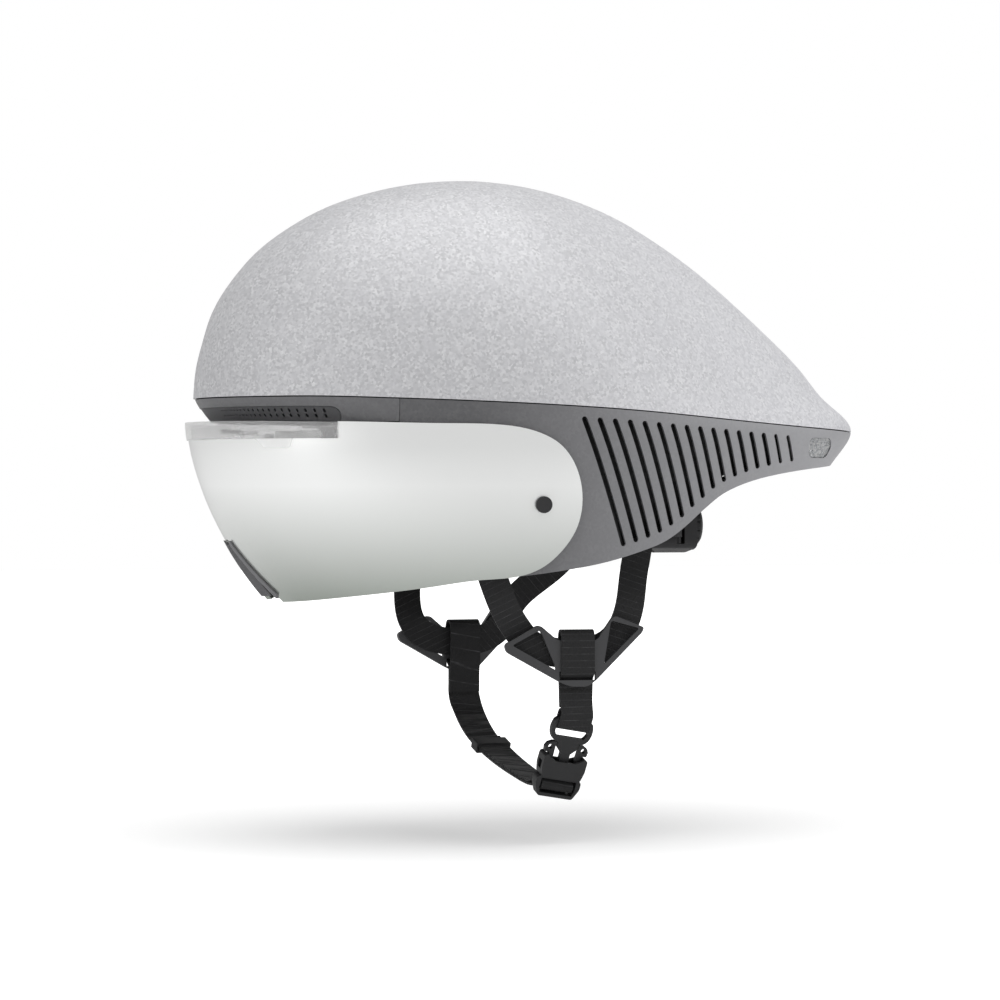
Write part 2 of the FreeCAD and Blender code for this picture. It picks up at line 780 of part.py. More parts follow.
pocket = pocket_region.cut(skin_solid(LINER_RISE - LOUVRE_POCKET_DEPTH))
liner = without(liner, [under_edge, face_cut, brow_clearance.common(brow_zone), nape, pocket, mirrored(pocket)])

# Magnets and pins that sit in the liner
seat_magnet = Part.makeCylinder(
    SEAT_MAGNET_RADIUS, SEAT_MAGNET_DEPTH, seat_point - seat_normal * (SEAT_MAGNET_DEPTH + BOND_GAP), seat_normal
)
keep("side_seat_magnets", Part.makeCompound([seat_magnet, mirrored(seat_magnet)]))
seat_pocket = Part.makeCylinder(
    SEAT_MAGNET_RADIUS + BOND_GAP, SEAT_MAGNET_DEPTH + BOND_GAP,
    seat_point - seat_normal * (SEAT_MAGNET_DEPTH + 2 * BOND_GAP), seat_normal
)


def brow_magnet(low_z, high_z, setback, depth, grow):
    """A curved magnet bar that follows the brow, at a height over the brow's bottom edge."""
    patch = front_patch(-12.0, 16.0, -setback - depth - grow, -setback + grow)
    front, rear = MAGNET_FRONT_Y - grow, MAGNET_REAR_Y + grow
    region = side_prism([
        ("curve", curve_points(brow_bottom_z, front, rear, 5, high_z + grow)),
        ("line", [(rear, brow_bottom_z(rear) + high_z + grow), (rear, brow_bottom_z(rear) + low_z - grow)]),
        ("curve", list(reversed(curve_points(brow_bottom_z, front, rear, 5, low_z - grow)))),
        ("line", [(front, brow_bottom_z(front) + low_z - grow), (front, brow_bottom_z(front) + high_z + grow)]),
    ], low_x=5.0)
    left = patch.common(region)
    return Part.makeCompound(left.Solids + mirrored(left).Solids)


shell_magnet_low = 2 * GAP + BOND_GAP
shell_setback = MAGNET_SETBACK + SHELL_WALL
keep("brow_magnets", brow_magnet(shell_magnet_low, shell_magnet_low + MAGNET_HEIGHT, shell_setback, MAGNET_DEPTH, 0.0))
magnet_pocket = brow_magnet(-1.0, shell_magnet_low + MAGNET_HEIGHT, shell_setback, MAGNET_DEPTH, BOND_GAP)

PIN_RADIUS = 2.4
PIN_HEAD = 5.2
PIN_HEAD_THICKNESS = 1.8
PIN_DEPTH = 9.0


def pin(frame, grip):
    """A mushroom pin whose head faces back along the frame's normal and whose stem runs along it."""
    head = frame.cylinder(0, 0, PIN_HEAD, -PIN_HEAD_THICKNESS, 0.0)
    stem = frame.cylinder(0, 0, PIN_RADIUS, -PIN_HEAD_THICKNESS / 2, grip + PIN_DEPTH)
    return joined([head, stem])


def pin_hole(frame, grip):
    return frame.cylinder(0, 0, PIN_RADIUS + BOND_GAP, grip - 0.5, grip + PIN_DEPTH + BOND_GAP)


def wall_frame(turn_degrees, z, inset):
    """A frame on the head space's wall, standing inset from it, whose normal points out into the liner."""
    turn = math.radians(turn_degrees)
    wall = head_point(z, turn)
    normal = risen(head_point, z, turn, 1.0) - wall
    normal.normalize()
    width = Vector(0, 0, 1).cross(normal)
    return Frame(wall - normal * inset, width, Vector(0, 0, 1), normal)


strap_stack = GAP + WEB_THICKNESS + GAP
TEMPLE_TURN = 94.0
TEMPLE_Z = -33.0
FRONT_ANCHOR_TURN = 93.0
FRONT_ANCHOR_Z = -51.0
REAR_ANCHOR_Y = 80.5
REAR_ANCHOR_Z = -48.0
front_anchor = wall_frame(FRONT_ANCHOR_TURN, FRONT_ANCHOR_Z, strap_stack)
rear_anchor = Frame(
    Vector(NAPE_HALF_WIDTH - strap_stack, REAR_ANCHOR_Y, REAR_ANCHOR_Z),
    Vector(0, 1, 0), Vector(0, 0, 1), Vector(1, 0, 0),
)
temple = wall_frame(TEMPLE_TURN, TEMPLE_Z, GAP + BAND_PLATE + 2 * GAP)
front_pin = pin(front_anchor, strap_stack)
rear_pin = pin(rear_anchor, strap_stack)
temple_pin = pin(temple, GAP + BAND_PLATE + 2 * GAP)
keep("strap_anchors", Part.makeCompound([front_pin, rear_pin, mirrored(front_pin), mirrored(rear_pin)]))
keep("temple_pins", Part.makeCompound([temple_pin, mirrored(temple_pin)]))
HANGER_PIN_Z = 2.0
hanger_wall = wall_frame(0.0, HANGER_PIN_Z, strap_stack)
keep("hanger_pin", pin(hanger_wall, strap_stack))
holes_in_liner = [pin_hole(front_anchor, strap_stack), pin_hole(rear_anchor, strap_stack),
                  pin_hole(temple, GAP + BAND_PLATE + 2 * GAP)]
liner_cutters = holes_in_liner + [mirrored(h) for h in holes_in_liner]
liner_cutters += [pin_hole(hanger_wall, strap_stack), seat_pocket, mirrored(seat_pocket)] + magnet_pocket.Solids
liner = liner.cut(Part.makeCompound(liner_cutters))
keep("eps_liner", liner)


def comfort_pad(low_z, high_z, first_turn, last_turn):
    """A pad that lines the head's space."""
    turns = [math.radians(a) for a in spread(first_turn, last_turn, 9)]
    return thick_patch(head_point, spread(low_z, high_z, 5), turns, -GAP - PAD_THICKNESS, -GAP)


keep("brow_pad", comfort_pad(6, 24, 130, 230))
keep("side_pad_left", comfort_pad(-12, 22, 62, 112))
keep("side_pad_right", comfort_pad(-12, 22, 248, 298))
keep("crown_pad_left", comfort_pad(66, 86, 40, 150))
keep("crown_pad_right", comfort_pad(66, 86, 210, 320))
keep("rear_pad", comfort_pad(22, 46, -30, 30))

# The visor
lens_patch = front_patch(-96.0, 8.0, LENS_STANDOFF, LENS_STANDOFF + LENS_THICKNESS)
lens_low = LENS_REAR[-1]
lens_step = LENS_REAR[0]
lens_region = side_prism([
    ("curve", LENS_REAR),
    ("line", [lens_low, (-170, lens_low[1]), (-170, BRACKET_BOTTOM_Z), (lens_step[0], BRACKET_BOTTOM_Z), lens_step]),
])
notch_corners = [
    (-NOTCH_APEX_HALF, NOTCH_APEX_Z), (NOTCH_APEX_HALF, NOTCH_APEX_Z),
    (NOTCH_FOOT_HALF, NOTCH_FOOT_Z), (NOTCH_FOOT_HALF + 2.0, NOTCH_FOOT_Z - 12),
    (-NOTCH_FOOT_HALF - 2.0, NOTCH_FOOT_Z - 12), (-NOTCH_FOOT_HALF, NOTCH_FOOT_Z),
]
notch = polygon_prism([(x, -170, z) for x, z in rounded_polygon(notch_corners, 3.0)], (0, 140, 0))
button_hole = Part.makeCylinder(BUTTON_STEM + SHAFT_GAP, 12, seat_point - seat_normal * 2, seat_normal)
lens = lens_patch.common(lens_region)
lens = without(lens, [notch, button_hole, mirrored(button_hole)])
keep("visor_lens", lens)

button_out = LENS_STANDOFF + LENS_THICKNESS
button = joined([
    Part.makeCylinder(BUTTON_RADIUS, 1.5, seat_point + seat_normal * (button_out + BOND_GAP), seat_normal),
    Part.makeCylinder(BUTTON_STEM, button_out, seat_point + seat_normal * (GAP + 0.5), seat_normal),
    Part.makeCylinder(BUTTON_FLANGE, LENS_STANDOFF - GAP - 0.4, seat_point + seat_normal * GAP, seat_normal),
])
keep("visor_button_left", button)
keep("visor_button_right", mirrored(button))


def brow_slab(front, rear, low, high, low_x=-130.0):
    """The region between two heights over the brow's bottom edge, along part of its length."""
    return side_prism([
        ("curve", curve_points(brow_bottom_z, front, rear, 7, high)),
        ("line", [(rear, brow_bottom_z(rear) + high), (rear, brow_bottom_z(rear) + low)]),
        ("curve", list(reversed(curve_points(brow_bottom_z, front, rear, 7, low)))),
        ("line", [(front, brow_bottom_z(front) + low), (front, brow_bottom_z(front) + high)]),
    ], low_x=low_x)


bracket_strip = front_patch(-12.0, 12.0, LENS_STANDOFF, BRACKET_RISE)
strip_low = side_prism([("line", [
    (-170, BRACKET_BOTTOM_Z + BOND_GAP), (BRACKET_REAR_Y - BOND_GAP, BRACKET_BOTTOM_Z + BOND_GAP),
    (BRACKET_REAR_Y - BOND_GAP, 30), (-170, 30), (-170, BRACKET_BOTTOM_Z + BOND_GAP),
])])
below_brow = brow_slab(-168, BRACKET_REAR_Y - BOND_GAP, -30, -2 * GAP)
strip = bracket_strip.common(strip_low).common(below_brow)
shelf_patch = front_patch(-12.0, 12.0, -BRACKET_SHELF_DEPTH, LENS_STANDOFF + 1.0)
shelf = shelf_patch.common(brow_slab(-168, BRACKET_REAR_Y - BOND_GAP, -2 * GAP - BRACKET_SHELF, -2 * GAP))
tab_patch = front_patch(
    -20.0, 4.0, LENS_STANDOFF + LENS_THICKNESS + BOND_GAP, LENS_STANDOFF + LENS_THICKNESS + BOND_GAP + TAB_THICKNESS
)
tab_outline = [
    (TAB_FRONT_Y - 1.5, BRACKET_BOTTOM_Z + 1.5), (TAB_REAR_Y + 1.5, BRACKET_BOTTOM_Z + 1.5),
    (TAB_REAR_Y, TAB_BOTTOM_Z), (TAB_FRONT_Y + 4.0, TAB_BOTTOM_Z),
]
tab_region = polygon_prism([(5.0, y, z) for y, z in rounded_polygon(tab_outline, 1.0)], (120, 0, 0))
tab = tab_patch.common(tab_region)
bracket = joined([strip, shelf, tab, mirrored(tab)])
keep("visor_bracket", bracket)
visor_magnet_top = -2 * GAP - BRACKET_SHELF - BOND_GAP
keep("visor_magnets", brow_magnet(
    visor_magnet_top - MAGNET_HEIGHT, visor_magnet_top, MAGNET_SETBACK - 1.0, MAGNET_DEPTH, 0.0))
clip_patch = front_patch(-12.0, 12.0, LENS_STANDOFF - 2.6, LENS_STANDOFF - BOND_GAP)
clip_front = BRACKET_REAR_Y - 6.5
clip_region = side_prism([("line", [
    (clip_front, BRACKET_BOTTOM_Z), (BRACKET_REAR_Y - 1, BRACKET_BOTTOM_Z),
    (BRACKET_REAR_Y - 1, -1.0), (clip_front, -1.0), (clip_front, BRACKET_BOTTOM_Z),
])], low_x=5.0)
clip = clip_patch.common(clip_region)
keep("bracket_clips", Part.makeCompound([clip, mirrored(clip)]))


def along_notch(inward, outward, foot_share, low, high):
    """A prism along the notch's left edge, from outward of the edge to inward into the lens."""
    a = (NOTCH_APEX_HALF, NOTCH_APEX_Z)
    b = (NOTCH_FOOT_HALF, NOTCH_FOOT_Z)
    length = math.hypot(b[0] - a[0], b[1] - a[1])
    tangent = ((b[0] - a[0]) / length, (b[1] - a[1]) / length)
    normal = (-tangent[1], tangent[0])
    start = (a[0] + tangent[0] * low, a[1] + tangent[1] * low)
    end = (a[0] + tangent[0] * (length * foot_share + high), a[1] + tangent[1] * (length * foot_share + high))
    outline = [
        (start[0] + normal[0] * inward, start[1] + normal[1] * inward),
        (end[0] + normal[0] * inward, end[1] + normal[1] * inward),
        (end[0] - normal[0] * outward, end[1] - normal[1] * outward),
        (start[0] - normal[0] * outward, start[1] - normal[1] * outward),
    ]
    return polygon_prism([(x, -160, z) for x, z in outline], (0, 110, 0))


strip_patch = front_patch(-96.0, -48.0, LENS_STANDOFF - STRIP_WALL, LENS_STANDOFF + LENS_THICKNESS + STRIP_WALL)
lens_room = front_patch(-96.0, -48.0, LENS_STANDOFF - BOND_GAP, LENS_STANDOFF + LENS_THICKNESS + BOND_GAP)
nose_strip = strip_patch.common(along_notch(STRIP_GRIP, STRIP_WEB, 0.97, 2.5, 0.0))
nose_strip = nose_strip.cut(lens_room.common(along_notch(STRIP_GRIP + 1, BOND_GAP, 1.0, 0.0, 5.0)))
keep("nose_strip_left", nose_strip)
keep("nose_strip_right", mirrored(nose_strip))

# Harness: dividers
yaw = math.radians(DIVIDER_YAW)
left_divider = Frame(
    Vector(DIVIDER_X, LEFT_DIVIDER_Y, DIVIDER_Z),
    Vector(math.sin(yaw), math.cos(yaw), 0), Vector(0, 0, 1), Vector(math.cos(yaw), -math.sin(yaw), 0),
)
right_divider = Frame(
    Vector(-DIVIDER_X, RIGHT_DIVIDER_Y, DIVIDER_Z),
    Vector(-math.sin(yaw), math.cos(yaw), 0), Vector(0, 0, 1), Vector(-math.cos(yaw), -math.sin(yaw), 0),
)
DIVIDER_OUTLINE = [
    (-38, 6.4), (-20, 16.6), (-10, 8.2), (10.2, 8.2), (19, 21), (35, 14.8), (34, 12.2),
    (9.7, -12.2), (5.6, -15.3), (-3.6, -15.3), (-9.2, -13), (-37, 2.5),
]
FRONT_WINDOW = [(-34, 6), (-19.4, 13.8), (-10.7, -7.1)]
REAR_WINDOW = [(17.6, 18.4), (32.6, 14.3), (13.8, -4.1)]
DIVIDER_SLOT_HALF = 9.5
DIVIDER_SLOT_TOP = -7.6


def divider(frame):
    """A triangular plate with a window in each wing and a slot in its neck."""
    half = DIVIDER_THICKNESS / 2
    plate = frame.prism(rounded_polygon(DIVIDER_OUTLINE, 2.5), -half, half)
    cutters = [frame.prism(rounded_polygon(window, 1.6), -half - 1, half + 1) for window in (FRONT_WINDOW, REAR_WINDOW)]
    low = DIVIDER_SLOT_TOP - DIVIDER_SLOT_HEIGHT
    cutters.append(frame.block((-DIVIDER_SLOT_HALF, low, -half - 1), (DIVIDER_SLOT_HALF, DIVIDER_SLOT_TOP, half + 1)))
    return without(plate, cutters)


keep("strap_divider_left", divider(left_divider))
keep("strap_divider_right", divider(right_divider))


def edgewise(points, sides):
    """Face normals for a strap whose width runs along the given side directions."""
    normals = []
    for i in range(len(points)):
        tangent = points[min(i + 1, len(points) - 1)] - points[max(i - 1, 0)]
        tangent.normalize()
        normals.append(sides[i].cross(tangent))
    return normals


def evenly(points, step):
    """Points at even steps along the straight lines through points, ends included."""
    lengths = [(b - a).Length for a, b in zip(points, points[1:])]
    count = max(2, int(round(sum(lengths) / step)))
    result = []
    for k in range(count + 1):
        left = sum(lengths) * k / count
        i = 0
        while i < len(lengths) - 1 and left > lengths[i]:
            left -= lengths[i]
            i += 1
        result.append(points[i] + (points[i + 1] - points[i]) * min(1.0, left / lengths[i]))
    return result


def blended(a, b, share):
    mixed = a * (1 - share) + b * share
    mixed.normalize()
    return mixed


# Straps from the helmet down to the dividers
front_layer = -(DIVIDER_THICKNESS / 2 + GAP + WEB_THICKNESS / 2)
rear_layer = front_layer - WEB_THICKNESS - GAP


def hanging_strap(name, anchor, drop, frame, route, layer):
    """A strap from its anchor on the liner down to its rest behind a divider's plate."""
    centre = anchor.centre + anchor.normal * (GAP + WEB_THICKNESS / 2)
    start = [centre + Vector(0, 0, 8), centre, centre - Vector(0, 0, 10)]
    end = [frame.at(w, h, layer) for w, h in route]
    points = through(start + [Vector(*p) for p in drop] + end, 26)
    facing = frame.normal
    begin = anchor.normal
    normals = []
    for i in range(len(points)):
        share = min(1.0, max(0.0, (i - 6) / 12.0))
        normals.append(blended(begin, facing, share))
    strap = ribbon(points, normals, STRAP_WIDTH, WEB_THICKNESS)
    hole = anchor.cylinder(0, 0, PIN_RADIUS + BOND_GAP, -1, strap_stack)
    keep(name, strap.cut(hole))


def other_side(frame):
    """A frame's twin on the right side of the head."""
    flip = Vector(-1, 1, 1)
    turned = [Vector(v.x * flip.x, v.y, v.z) for v in (frame.centre, frame.width, frame.height, frame.normal)]
    return Frame(*turned)


FRONT_ROUTE = [(-30, 13), (-24, 6.5), (-16, 3.2), (-7, 1.6), (4, 1.2)]
REAR_ROUTE = [(27, 20), (23, 12), (15, 5), (6, 2.2), (-5, 1.4)]
hanging_strap("strap_front_left", front_anchor, [(79.4, -4.5, -76), (75.5, 2.0, -90)], left_divider, FRONT_ROUTE, front_layer)
hanging_strap("strap_rear_left", rear_anchor, [(61.0, 76.5, -75)], left_divider, REAR_ROUTE, rear_layer)
hanging_strap("strap_front_right", other_side(front_anchor), [(-78.6, -8.9, -74), (-71.3, -10.8, -90)],
              right_divider, FRONT_ROUTE, front_layer)
hanging_strap("strap_rear_right", other_side(rear_anchor), [(-60.5, 71.5, -73)], right_divider, REAR_ROUTE, rear_layer)

# The loop of webbing that hangs from each divider
LOOP_TOP = 9.5
front_face = DIVIDER_THICKNESS / 2 + GAP + WEB_THICKNESS / 2
back_face = rear_layer - WEB_THICKNESS - GAP
loop_radius = (front_face - back_face) / 2
loop_middle = (front_face + back_face) / 2
slot_low = DIVIDER_SLOT_TOP - DIVIDER_SLOT_HEIGHT
plate_half = DIVIDER_THICKNESS / 2


def divider_loop(frame):
    """The webbing's line over a divider: up behind it, over the top, down in front and back through the slot."""
    path = [(rear_layer, -26), (rear_layer, -16), (rear_layer - 0.3, -13), (back_face, -9), (back_face, LOOP_TOP)]
    for angle in (150, 120, 90, 60, 30):
        turn = math.radians(angle)
        path.append((loop_middle + loop_radius * math.cos(turn), LOOP_TOP + loop_radius * math.sin(turn)))
    path += [
        (front_face, LOOP_TOP), (front_face, DIVIDER_SLOT_TOP + 2.0), (front_face - 0.05, DIVIDER_SLOT_TOP + 0.4),
        (front_face - 0.3, DIVIDER_SLOT_TOP - 0.6), (plate_half, DIVIDER_SLOT_TOP - 1.05),
        (-plate_half, slot_low + 1.05), (front_layer + 0.3, slot_low + 0.6), (front_layer + 0.05, slot_low - 0.4),
        (front_layer, slot_low - 2.0), (front_layer, -22),
    ]
    return [frame.at(0, h, n) for n, h in path]


# Side release buckle: w across, h down the buckle's axis, n out of its face
buckle_bar = Vector(*BUCKLE_BAR)
down_axis = Vector(*BUCKLE_FOOT) - buckle_bar
down_axis.normalize()
face_axis = Vector(*BUCKLE_FACE)
face_axis = face_axis - down_axis * face_axis.dot(down_axis)
face_axis.normalize()
buckle = Frame(buckle_bar, face_axis.cross(down_axis), down_axis, face_axis)

BAR_WRAP_DROP = 1.4
bar_wrap = PLUG_HALF_THICKNESS + GAP + WEB_THICKNESS / 2
bar_turn = [(bar_wrap, -5), (bar_wrap, BAR_WRAP_DROP)]
for angle in (30, 60, 90, 120, 150):
    turn = math.radians(angle)
    bar_turn.append((bar_wrap * math.cos(turn), BAR_WRAP_DROP + bar_wrap * math.sin(turn)))
bar_turn += [(-bar_wrap, BAR_WRAP_DROP), (-bar_wrap, -5)]
left_line = divider_loop(left_divider) + [buckle.at(0, s, n) for n, s in bar_turn]
left_line.append(left_divider.at(0, -28.5, rear_layer))
left_points = evenly(left_line, 1.5)
left_sides = []
for point in left_points:
    share = min(1.0, max(0.0, (DIVIDER_Z - 14 - point.z) / 14.0))
    left_sides.append(blended(left_divider.width, buckle.width, share))
keep("lower_strap_left", folded_ribbon(left_points, edgewise(left_points, left_sides), CHIN_WIDTH, WEB_THICKNESS))


def symmetric(outline):
    """The outline of a piece whose right half is the mirror of its left half."""
    return outline + [(-w, h) for w, h in reversed(outline)]


plug_half = symmetric([
    (8.6, -PLUG_BAR_HALF), (10.6, -0.6), (PLUG_HALF_WIDTH, 2.6), (PLUG_HALF_WIDTH, 5.6), (10.4, 8.6), (8.2, PLUG_FRAME_END),
])
plug_frame = buckle.prism(rounded_polygon(plug_half, 1.6), -PLUG_HALF_THICKNESS, PLUG_HALF_THICKNESS)
plug_window = symmetric([(9.2, PLUG_BAR_HALF), (9.2, 5.6), (7.6, PLUG_WINDOW_END)])
plug_frame = plug_frame.cut(buckle.prism(rounded_polygon(plug_window, 0.8), -4, 4))
TONGUE_HALF_WIDTH = 2.6
TONGUE_END = 27.0
NECK_HALF_WIDTH = 5.6
tongue = buckle.prism(
    symmetric([(NECK_HALF_WIDTH, PLUG_FRAME_END - 1), (NECK_HALF_WIDTH, 14), (TONGUE_HALF_WIDTH, 17),
               (TONGUE_HALF_WIDTH, TONGUE_END)]), -1.4, 1.4)
keep("buckle_plug", joined([plug_frame, tongue]))

ARM_LINE = [
    (6.4, ARM_ROOT + 0.1), (8.6, ARM_ROOT + 0.3), (11.0, 12.6), (12.0, 14.6), (11.6, SOCKET_START - 0.5),
    (9.2, SOCKET_START - 0.5), (8.9, 22.0), (10.6, 22.3), (10.6, 23.6), (8.2, 26.4), (6.2, 26.4), (6.6, 14.0),
]
arm = buckle.prism(ARM_LINE, -1.5, 1.5).cut(buckle.cylinder(9.2, 14.2, 1.3, -3, 3))
arm_twin = buckle.prism([(-w, s) for w, s in ARM_LINE], -1.5, 1.5).cut(buckle.cylinder(-9.2, 14.2, 1.3, -3, 3))
keep("release_arm_rear", arm)
keep("release_arm_front", arm_twin)

socket_end = SOCKET_START + SOCKET_LENGTH
socket_outline = symmetric([
    (5.0, 20.9), (8.4, 19.4), (10.2, SOCKET_START), (SOCKET_HALF_WIDTH, 18.6), (SOCKET_HALF_WIDTH, 24.6), (10.8, socket_end),
])
socket = buckle.prism(rounded_polygon(socket_outline, 0.9), -SOCKET_HALF_THICKNESS, SOCKET_HALF_THICKNESS)
inner_half = SOCKET_HALF_WIDTH - SOCKET_WALL - 0.8
cavity = buckle.block(
    (-inner_half, SOCKET_START - 4, -SOCKET_HALF_THICKNESS + SOCKET_WALL),
    (inner_half, socket_end - 1.4, SOCKET_HALF_THICKNESS - SOCKET_WALL))
side_windows = buckle.block((-20, 22.0, -2.2), (20, 26.6, 2.2))
ladder_end = socket_end + LADDER_LENGTH
ladder_outline = symmetric([
    (10.8, socket_end - 0.2), (LADDER_HALF_WIDTH, socket_end + 1.6), (LADDER_HALF_WIDTH, socket_end + 5.0), (9.6, ladder_end),
])
ladder = buckle.prism(rounded_polygon(ladder_outline, 1.2), -LADDER_HALF_THICKNESS, LADDER_HALF_THICKNESS)
LADDER_BAR = (4.2, 5.8)
upper_window = buckle.block((-9.8, socket_end + 1.2, -4), (9.8, socket_end + LADDER_BAR[0], 4))
lower_window = buckle.prism(
    symmetric([(9.8, socket_end + LADDER_BAR[1]), (9.0, socket_end + 9.0)]), -4, 4)
bar_faces = [
    buckle.block((-9.8, socket_end + 1.2, side * 3.2 - 2.0), (9.8, socket_end + 7.0, side * 3.2 + 2.0)) for side in (-1, 1)
]
keep("buckle_socket", without(joined([socket, ladder]), [cavity, side_windows, upper_window, lower_window] + bar_faces))

# The chin strap, from the right divider under the chin to the ladder on the buckle
ladder_bar_s = socket_end + sum(LADDER_BAR) / 2
ladder_wrap = 2.4
CHIN_DROP = [
    (-70.5, 22.5, -149), (-65.5, 24.3, -157), (-56, 26.5, -165), (-38, 30.0, -173.5), (-10, 32.4, -180), (20, 33.4, -184),
    (38, 33.8, -185.6),
]
out_turn = [(-4.0, ladder_bar_s + ladder_wrap), (0.0, ladder_bar_s + ladder_wrap)]
for angle in (60, 30, 0, -30, -60):
    turn = math.radians(angle)
    out_turn.append((ladder_wrap * math.cos(turn), ladder_bar_s + ladder_wrap * math.sin(turn)))
out_turn += [(0.0, ladder_bar_s - ladder_wrap), (-4.0, ladder_bar_s - ladder_wrap)]
under_chin = through(
    [right_divider.at(0, -22, front_layer), right_divider.at(0, -26, front_layer)] + [Vector(*p) for p in CHIN_DROP]
    + [buckle.at(0, out_turn[0][1], out_turn[0][0])], 60)
FREE_END_X = -50.0
LAYER_STEP = WEB_THICKNESS + 0.4
returning = []
for i in range(len(under_chin) - 2, 0, -1):
    here = under_chin[i]
    if here.x > 42 or here.x < FREE_END_X:
        continue
    tangent = under_chin[i + 1] - under_chin[i - 1]
    tangent.normalize()
    lift = tangent.cross(Vector(0, -1, 0))
    lift.normalize()
    if lift.z < 0:
        lift = lift * -1
    returning.append(here + lift * LAYER_STEP)
chin_line = divider_loop(right_divider)[:-1] + under_chin[:-1] + [buckle.at(0, s, n) for n, s in out_turn] + returning
chin_points = evenly(chin_line, 1.5)
chin_sides = []
for i, point in enumerate(chin_points):
    share = min(1.0, max(0.0, (point.x + 66) / 100.0))
    chin_sides.append(blended(right_divider.width, buckle.width, share))
keep("chin_strap", folded_ribbon(chin_points, edgewise(chin_points, chin_sides), CHIN_WIDTH, WEB_THICKNESS))

KEEPER_X = -44.0
KEEPER_LENGTH = 7.0
KEEPER_WALL = 1.2
index = min(range(len(under_chin)), key=lambda i: abs(under_chin[i].x - KEEPER_X))
keeper_along = under_chin[index + 1] - under_chin[index - 1]
keeper_along.normalize()
share = min(1.0, max(0.0, (under_chin[index].x + 66) / 100.0))
keeper_side = blended(right_divider.width, buckle.width, share)
keeper_side = keeper_side - keeper_along * keeper_side.dot(keeper_along)
keeper_side.normalize()
keeper_normal = keeper_along.cross(keeper_side)
if keeper_normal.z < 0:
    keeper_normal = keeper_normal * -1
keeper = Frame(under_chin[index], keeper_side, keeper_normal, keeper_along)
low, high = -WEB_THICKNESS / 2 - GAP, WEB_THICKNESS / 2 + LAYER_STEP + GAP
half = CHIN_WIDTH / 2 + GAP
ring_outer = [(-half - KEEPER_WALL, low - KEEPER_WALL), (half + KEEPER_WALL, low - KEEPER_WALL),
              (half + KEEPER_WALL, high + KEEPER_WALL), (-half - KEEPER_WALL, high + KEEPER_WALL)]
ring = keeper.prism(rounded_polygon(ring_outer, 1.0), -KEEPER_LENGTH / 2, KEEPER_LENGTH / 2)
keep("strap_keeper", ring.cut(keeper.block((-half, low, -9), (half, high, 9))))

# Fit system at the nape
BAND_GEAR_OFFSET = PINION_TEETH * GEAR_MODULE / 2
housing_front_low_y = 95.0
YOKE_REAR_Y = 110.0


def yoke_point(z, turn):
    """A point of the yoke's inner face, which follows the back of the head below the nape."""
    return Vector(YOKE_HALF_WIDTH * math.sin(turn), YOKE_HALF_LENGTH * math.cos(turn), z)


yoke_turns = [math.radians(a) for a in spread(-YOKE_TURN, YOKE_TURN, 17)]
yoke = thick_patch(yoke_point, spread(YOKE_BOTTOM_Z, YOKE_TOP_Z, 4), yoke_turns, 0.0, YOKE_WALL)
yoke_corner = polygon_prism(
    [(x, 40, z) for x, z in rounded_polygon([(-39, YOKE_BOTTOM_Z + 1), (39, YOKE_BOTTOM_Z + 1), (42, -44), (30, YOKE_TOP_Z - 0.5),
                                             (-30, YOKE_TOP_Z - 0.5), (-42, -44)], 7.0)], (0, 80, 0))
yoke = yoke.common(yoke_corner)

# Bands with their toothed slots, either side of the dial's pinion
PLATE_GAP = 0.3
housing_split = YOKE_REAR_Y + 0.2
left_plate_y = YOKE_REAR_Y + 0.5
right_plate_y = left_plate_y + BAND_PLATE + PLATE_GAP
channel_end = right_plate_y + BAND_PLATE + PLATE_GAP
band_low, band_high = DIAL_Z - BAND_HEIGHT / 2, DIAL_Z + BAND_HEIGHT / 2
pitch = math.pi * GEAR_MODULE
TOOTH_ROOT_DROP = 1.25
TOOTH_TIP_RISE = 0.75
TOOTH_SHARE = 0.34
pinion_root = BAND_GEAR_OFFSET - 1.25
pinion_tip = BAND_GEAR_OFFSET + 0.75
SLOT_HALF_LENGTH = 18.5
BAND_INNER_END = -22.0
BAND_OUTER_END = 34.0


def toothed_plate(low_y, top_side):
    """A band's flat end: a slot with a rack along one edge, for the pinion."""
    plate = box((BAND_INNER_END, low_y, band_low), (BAND_OUTER_END, low_y + BAND_PLATE, band_high))
    rack_line = BAND_GEAR_OFFSET + TOOTH_ROOT_DROP
    clear_line = pinion_tip + 0.45
    slot = box((-SLOT_HALF_LENGTH, low_y - 1, DIAL_Z - clear_line if top_side else DIAL_Z - rack_line),
               (SLOT_HALF_LENGTH, low_y + BAND_PLATE + 1, DIAL_Z + rack_line if top_side else DIAL_Z + clear_line))
    plate = plate.cut(slot)
    sign = 1 if top_side else -1
    teeth = []
    count = int(SLOT_HALF_LENGTH / pitch)
    for k in range(-count, count + 1):
        x = k * pitch
        root = pitch * (TOOTH_SHARE + 0.14) / 2
        tip = pitch * (TOOTH_SHARE - 0.14) / 2
        outline = [
            (x - root, low_y, DIAL_Z + sign * (rack_line + 0.6)), (x - root, low_y, DIAL_Z + sign * rack_line),
            (x - tip, low_y, DIAL_Z + sign * (BAND_GEAR_OFFSET - TOOTH_TIP_RISE)),
            (x + tip, low_y, DIAL_Z + sign * (BAND_GEAR_OFFSET - TOOTH_TIP_RISE)),
            (x + root, low_y, DIAL_Z + sign * rack_line), (x + root, low_y, DIAL_Z + sign * (rack_line + 0.6)),
        ]
        teeth.append(polygon_prism(outline, (0, BAND_PLATE, 0)))
    return joined([plate] + teeth)


keep("band_rack_left", toothed_plate(left_plate_y, True))
keep("band_rack_right", mirrored(toothed_plate(right_plate_y, False)))

